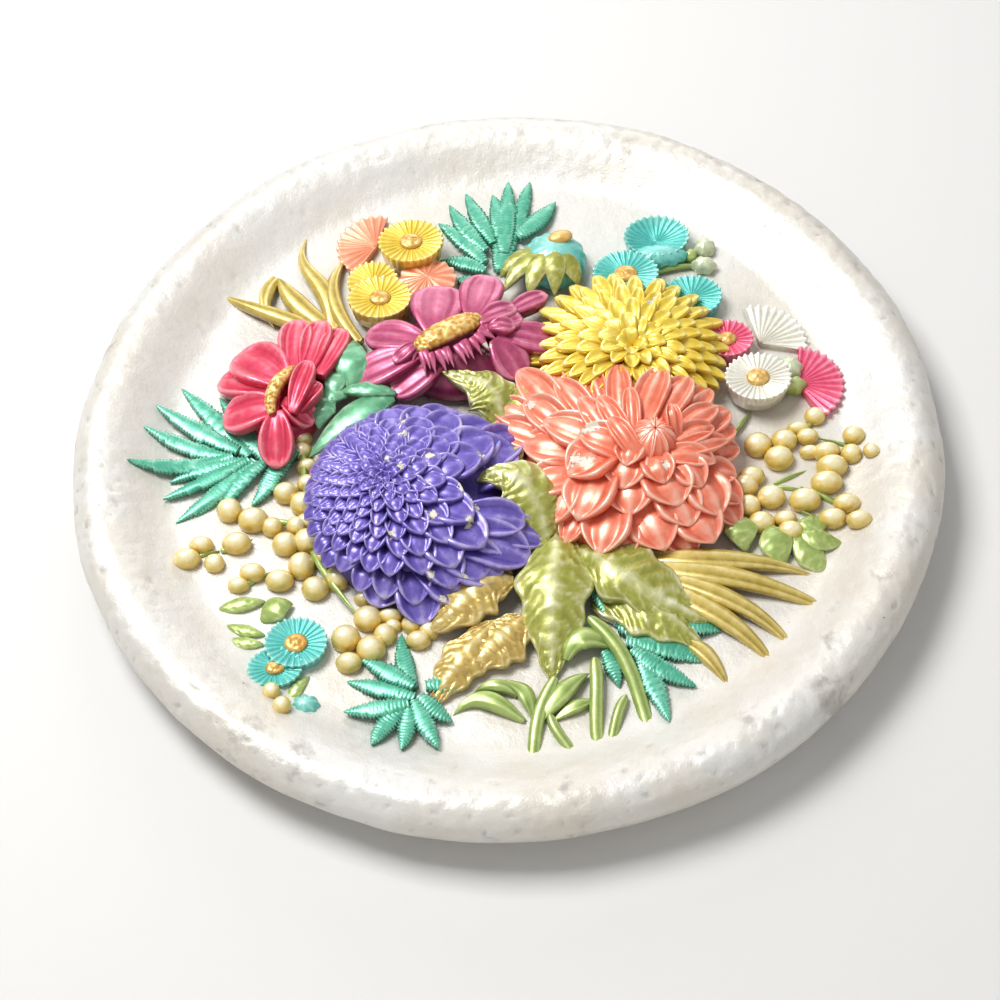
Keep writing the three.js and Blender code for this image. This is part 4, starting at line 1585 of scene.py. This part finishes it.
@dataclass(frozen=True)
class PearlPlaster:
    """Pearl-white mica wash over bare cast plaster, with grey patches of stain, painted shade in the rim's
    pits and dark dots painted as the shade of pinholes.
    """

    name: str = "pearl_washed_plaster"
    base: str = "#D9D7D2"
    warm: str = "#D3CDC2"
    # Grey of the stains, also painted as shade in the rim's pits and the field's hollows.
    stain_and_pit_shade: str = "#8F8C86"
    # Near-black of the pinholes, painted shade of holes that the mesh doesn't have.
    pinhole_shade: str = "#4C4742"

    def material(self) -> bpy.types.Material:
        """Clouds of warm and cool white; painted shade where rim pits and field hollows are deep; grey stains;
        small dark dots as painted shade of pinholes.
        """
        shade = Shading.start(self.name)
        where = shade.node("TexCoord").outputs["Object"]
        tone = shade.node("Attribute", {"attribute_name": "tone"}).outputs["Fac"]
        stain = shade.node("Attribute", {"attribute_name": "chip"}).outputs["Fac"]
        cloud = shade.span(shade.noise(where, 45.0, 4.0), 0.38, 0.62)
        colour = shade.blend(cloud, linear(self.warm), linear(self.base))
        # Painted shade: where the tone is low, in the rim's pits and the field's hollows, the colour blends
        # halfway to the grey.
        deep = shade.span(tone, 0.15, 0.42, 1.0, 0.0)
        colour = shade.blend(shade.maths("MULTIPLY", deep, 0.5), colour, linear(self.stain_and_pit_shade))
        smudge = shade.maths("ADD", stain, shade.span(shade.noise(where, 5.0, 5.0), 0.3, 0.7, -0.4, 0.3))
        colour = shade.blend(shade.span(smudge, 0.45, 0.9, 0.0, 0.6), colour, linear(self.stain_and_pit_shade))
        # Painted shade of pinholes: small dark dots, picked by a noise, where the mesh has no holes.
        dots = shade.node("TexVoronoi", {"feature": "F1"}, Vector=where, Scale=1000.0 / 7.0)
        inside = shade.span(dots.outputs["Distance"], 0.035, 0.05, 1.0, 0.0)
        chosen = shade.span(shade.noise(where, 30.0, 2.0), 0.52, 0.6)
        colour = shade.blend(shade.maths("MULTIPLY", inside, chosen), colour, linear(self.pinhole_shade))
        grain = shade.noise(where, 0.8, 4.0)
        swell = shade.noise(where, 3.5, 3.0)
        fine = shade.maths("MULTIPLY", grain, 0.12)
        height = shade.maths("ADD", fine, shade.maths("MULTIPLY", swell, 0.25))
        bump = shade.node("Bump", Strength=1.0, Distance=0.001, Height=height)
        surface = shade.node(
            "BsdfPrincipled",
            Base_Color=colour,
            Metallic=0.2,
            Roughness=shade.span(grain, 0.3, 0.7, 0.34, 0.5),
            Coat_Weight=0.2,
            Coat_Roughness=0.3,
            Normal=bump.outputs["Normal"],
        )
        shade.node("OutputMaterial", Surface=surface.outputs[0])
        return shade.material


CORAL = MicaPaint("coral_mica_paint", "#D2573A", "#EC8467", "#FFCDB8")
PURPLE = MicaPaint("purple_mica_paint", "#46368F", "#7463BA", "#D6CBF4")
YELLOW = MicaPaint("yellow_mica_paint", "#C39B1E", "#E8CB47", "#FDF4B4")
MAGENTA = MicaPaint("magenta_mica_paint", "#8E2C52", "#BE5379", "#EDA6BF")
RED = MicaPaint("red_mica_paint", "#BF2444", "#E44A66", "#FBA9B0")
TEAL = MicaPaint("teal_mica_paint", "#237F63", "#52AE90", "#C0EBDB")
BLUE = MicaPaint("blue_mica_paint", "#2F9C95", "#5FC7BE", "#BDEBE2")
BERRY = MicaPaint("berry_gold_mica_paint", "#B3923A", "#E4CA70", "#FFF8D4")
OLIVE = MicaPaint("olive_mica_paint", "#6E7026", "#A4A54A", "#EDEBC6")
TAN = MicaPaint("tan_gold_mica_paint", "#8A7036", "#C3A658", "#F0E2AC")
BLADE_GOLD = MicaPaint("blade_gold_mica_paint", "#927A2E", "#CDB65E", "#F8EFC4")
LEAF_GREEN = MicaPaint("leaf_green_mica_paint", "#3A7F58", "#6CAE84", "#C8E8C8")
STEM_GREEN = MicaPaint("stem_green_mica_paint", "#6F8A3E", "#A2B565", "#DDE3AC")
PALE_GREEN = MicaPaint("pale_green_mica_paint", "#9FAE86", "#C5CDA8", "#ECEFD8")
GOLD = MicaPaint("gold_mica_paint", "#9C6B22", "#D09C42", "#F6DD9C", stipple=0.15)
PEACH = MicaPaint("peach_mica_paint", "#D87350", "#EF9C78", "#FFD3B8")
PINK = MicaPaint("pink_mica_paint", "#C22D55", "#E4567A", "#FBB4C2")
WHITE = MicaPaint("white_mica_paint", "#B9B59C", "#E6E3D6", "#FFFFFA")

DAISY_FINISH = {
    Paint.YELLOW: YELLOW,
    Paint.PEACH: PEACH,
    Paint.BLUE: BLUE,
    Paint.PINK: PINK,
    Paint.WHITE: WHITE,
}


# ---- The bouquet ---------------------------------------------------------------------------------

CORAL_CHIPS = (
    (33.0, 23.0, 4.0), (10.0, 7.0, 4.0), (31.0, -12.0, 5.5), (25.0, -23.5, 5.0), (30.0, -25.0, 4.0),
    (57.0, -31.5, 3.0),
)
PURPLE_CHIPS = (
    (-38.0, -4.0, 3.5), (-38.0, -11.0, 3.0), (-43.0, -23.0, 3.0), (-39.0, -28.0, 2.5), (-28.0, -22.0, 3.5),
    (-17.0, -35.0, 4.0), (-9.0, -19.0, 3.0), (-13.0, -41.0, 3.0), (-15.0, -48.0, 3.0), (-28.0, -46.0, 4.0),
    (-43.0, -53.0, 2.5), (-30.0, -66.0, 3.0), (-18.0, -66.0, 3.0), (-26.0, -73.0, 3.0),
)
YELLOW_CHIPS = ((45.0, 54.0, 2.5), (62.0, 52.0, 2.5), (59.0, 48.0, 2.5))
MAGENTA_CHIPS = ((-5.0, 35.0, 3.0),)
FIELD_STAINS = (
    (75.0, -129.0, 8.0), (102.0, -117.0, 8.0), (108.0, -99.0, 7.0), (108.0, -124.0, 16.0),
    (-95.0, -122.0, 16.0), (-78.0, -132.0, 14.0), (-154.0, 50.0, 8.0), (12.0, -150.0, 6.0),
)


@dataclass
class Bouquet:
    """The painted relief, one piece for each flower or group and paint."""

    finishes: dict[MicaPaint, bpy.types.Material] = field(default_factory=dict)

    def finish(self, paint: MicaPaint) -> bpy.types.Material:
        """The paint's material, made once."""
        if paint not in self.finishes:
            self.finishes[paint] = paint.material()
        return self.finishes[paint]

    def put(
        self, relief: Relief, name: str, paint: MicaPaint, chips: Sequence[tuple] = ()
    ) -> None:
        """Makes one piece."""
        place(relief.mesh(name, chips), self.finish(paint))

    def flowers(self) -> None:
        """The five large flowers and their stamen cushions."""
        self.put(CORAL_DAHLIA.relief().add(*CORAL_BUD), "coral_dahlia", CORAL, CORAL_CHIPS)
        self.put(PURPLE_DAHLIA.relief(), "purple_dahlia", PURPLE, PURPLE_CHIPS)
        self.put(YELLOW_MUM.relief(), "yellow_chrysanthemum", YELLOW, YELLOW_CHIPS)
        self.put(MAGENTA_FLOWER.relief(), "magenta_flower", MAGENTA, MAGENTA_CHIPS)
        self.put(RED_FLOWER.relief(), "red_flower", RED)
        cushions = Relief().add(*MAGENTA_FLOWER.cushion()).add(*RED_FLOWER.cushion())
        self.put(cushions, "stamen_cushions", GOLD)

    def daisies(self) -> None:
        """The small fluted flowers, one piece for each paint, and all their buttons."""
        buttons = Relief().add(*BUD_EYE[0].grid())
        for paint in Paint:
            relief = Relief()
            for daisy in DAISIES:
                if daisy.paint is paint:
                    relief.add(*daisy.face())
                    if daisy.button:
                        buttons.add(*daisy.knob())
            self.put(relief, f"{paint.name.lower()}_daisies", DAISY_FINISH[paint])
        self.put(buttons, "daisy_buttons", GOLD)

    def buds(self) -> None:
        """Grooved buds, one piece for each paint."""
        groups = (
            ("teal_bud", TEAL_BUD, BLUE, "teal_paint"),
            ("blue_buds", BLUE_BUDS, BLUE, "blue_paint"),
            ("pale_buds", PALE_BUDS, PALE_GREEN, "pearl_plaster"),
            ("green_buds", GREEN_BUDS, STEM_GREEN, "stem_green_paint"),
        )
        for name, buds, paint, slot in groups:
            relief = Relief()
            for bud in buds:
                relief.add(*bud.grid())
            self.put(relief, name, paint)

    def foliage(self) -> None:
        """Leaves, calyxes, blades, stems and twigs."""
        groups = (
            ("olive_leaves", OLIVE_LEAVES, OLIVE, "leaf_olive_paint"),
            ("tan_leaves", TAN_LEAVES, TAN, "gold_paint"),
            ("berry_leaves", BERRY_LEAVES, STEM_GREEN, "leaf_olive_paint"),
            ("green_calyx", GREEN_CALYX, LEAF_GREEN, "teal_paint"),
            ("olive_calyx", OLIVE_CALYX, OLIVE, "leaf_olive_paint"),
            ("gold_blades", GOLD_BLADES, BLADE_GOLD, "gold_paint"),
            ("stems", STEMS, STEM_GREEN, "stem_green_paint"),
            ("twigs", TWIGS, STEM_GREEN, "stem_green_paint"),
        )
        for name, strips, paint, slot in groups:
            relief = Relief()
            for group in strips:
                group.add_to(relief)
            self.put(relief, name, paint)
        outline = Plan(root=0.5, shoulder=0.45, blunt=1.5, tip=0.8, teeth=1.35, tooth_depth=0.42)
        comb = Strip(outline, fern_carving(1.35, 0.5, 0.8), rows=84, cols=16, crown=0.4, sole=3.0, cup=-0.08)
        self.put(FernFronds(FERN_LEAFLETS, comb).relief(), "ferns", TEAL)

    def berries(self) -> None:
        """All berries."""
        self.put(BerryBunches(BERRIES).relief(), "berries", BERRY)

    def build(self) -> None:
        """Builds every group."""
        self.flowers()
        self.daisies()
        self.buds()
        self.foliage()
        self.berries()


# ---- Studio --------------------------------------------------------------------------------------


@dataclass(frozen=True)
class Studio:
    """A pale wall and floor, soft lights and the camera.

    Attributes:
        eye: the camera's place in metres in the row frame.
        aim: the point it looks at.
        lens: its lens in millimetres.
        roll: degrees that it is rolled.
    """

    eye: tuple[float, float, float] = (-0.0037, -0.6392, -0.4366)
    aim: tuple[float, float, float] = (-0.0037, 0.0, -0.0171)
    lens: float = 72.0
    roll: float = -3.59

    def plain(self, name: str, code: str) -> bpy.types.Material:
        """A matt stage colour that is clear from behind."""
        shade = Shading.start(name)
        face = shade.node("BsdfPrincipled", Base_Color=linear(code), Roughness=0.85)
        clear = shade.node("BsdfTransparent")
        behind = shade.node("NewGeometry").outputs["Backfacing"]
        both = shade.node("MixShader", n0=behind, n1=face.outputs[0], n2=clear.outputs[0])
        shade.node("OutputMaterial", Surface=both.outputs[0])
        return shade.material

    def plane(self, name: str, corners: Sequence[Sequence[float]], material: bpy.types.Material) -> None:
        """A four-cornered stage plane."""
        mesh = bpy.data.meshes.new(name)
        mesh.from_pydata(corners, [], [(0, 1, 2, 3)])
        mesh.materials.append(material)
        flat = bpy.data.objects.new(name, mesh)
        bpy.context.scene.collection.objects.link(flat)

    def light(self, name: str, at: Sequence[float], size: float, power: float) -> None:
        """A square soft light that faces the plaque's middle."""
        lamp = bpy.data.lights.new(name, "AREA")
        lamp.shape = "SQUARE"
        lamp.size = size
        lamp.energy = power
        holder = bpy.data.objects.new(name, lamp)
        bpy.context.scene.collection.objects.link(holder)
        holder.location = at
        holder.rotation_euler = (-Vector(at)).to_track_quat("-Z", "Y").to_euler()

    def build(self) -> None:
        """Builds the stage."""
        pale = self.plain("stage_pale", "#D9D8D6")
        reach, gap, floor = 3.0, 0.002, -0.6
        wall = [(-reach, gap, floor), (reach, gap, floor), (reach, gap, reach), (-reach, gap, reach)]
        self.plane("stage_wall", wall, pale)
        ground = [(-reach, -reach, floor), (reach, -reach, floor), (reach, gap, floor), (-reach, gap, floor)]
        self.plane("stage_floor", ground, pale)
        self.light("key", (-0.4, -0.95, 0.25), 0.45, 12.0)
        self.light("fill", (0.9, -0.9, -0.2), 1.2, 2.0)
        self.light("top", (0.1, -0.5, 1.0), 0.6, 3.0)
        self.light("behind", (0.3, 1.2, 0.6), 1.0, 4.0)

        world = bpy.data.worlds.new("studio")
        bpy.context.scene.world = world
        world.use_nodes = True
        sky = world.node_tree.nodes["Background"]
        sky.inputs["Color"].default_value = linear("#F2F3F5")
        sky.inputs["Strength"].default_value = 0.28
        bpy.context.scene.view_settings.view_transform = "Standard"

        camera = bpy.data.cameras.new("camera")
        camera.lens = self.lens
        holder = bpy.data.objects.new("camera", camera)
        bpy.context.scene.collection.objects.link(holder)
        holder.location = self.eye
        look = (Vector(self.aim) - Vector(self.eye)).to_track_quat("-Z", "Y").to_matrix()
        roll = Matrix.Rotation(math.radians(self.roll), 3, "Z")
        holder.rotation_euler = (look @ roll).to_euler()
        bpy.context.scene.camera = holder


def main() -> None:
    """Builds the dish, the bouquet and the studio."""
    logging.basicConfig(level=logging.INFO, format="%(name)s: %(message)s", stream=sys.stdout)
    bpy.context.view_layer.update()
    place(Dish().relief().mesh("dish", FIELD_STAINS), PearlPlaster().material())
    Bouquet().build()
    Studio().build()


if __name__ == "__main__":
    main()
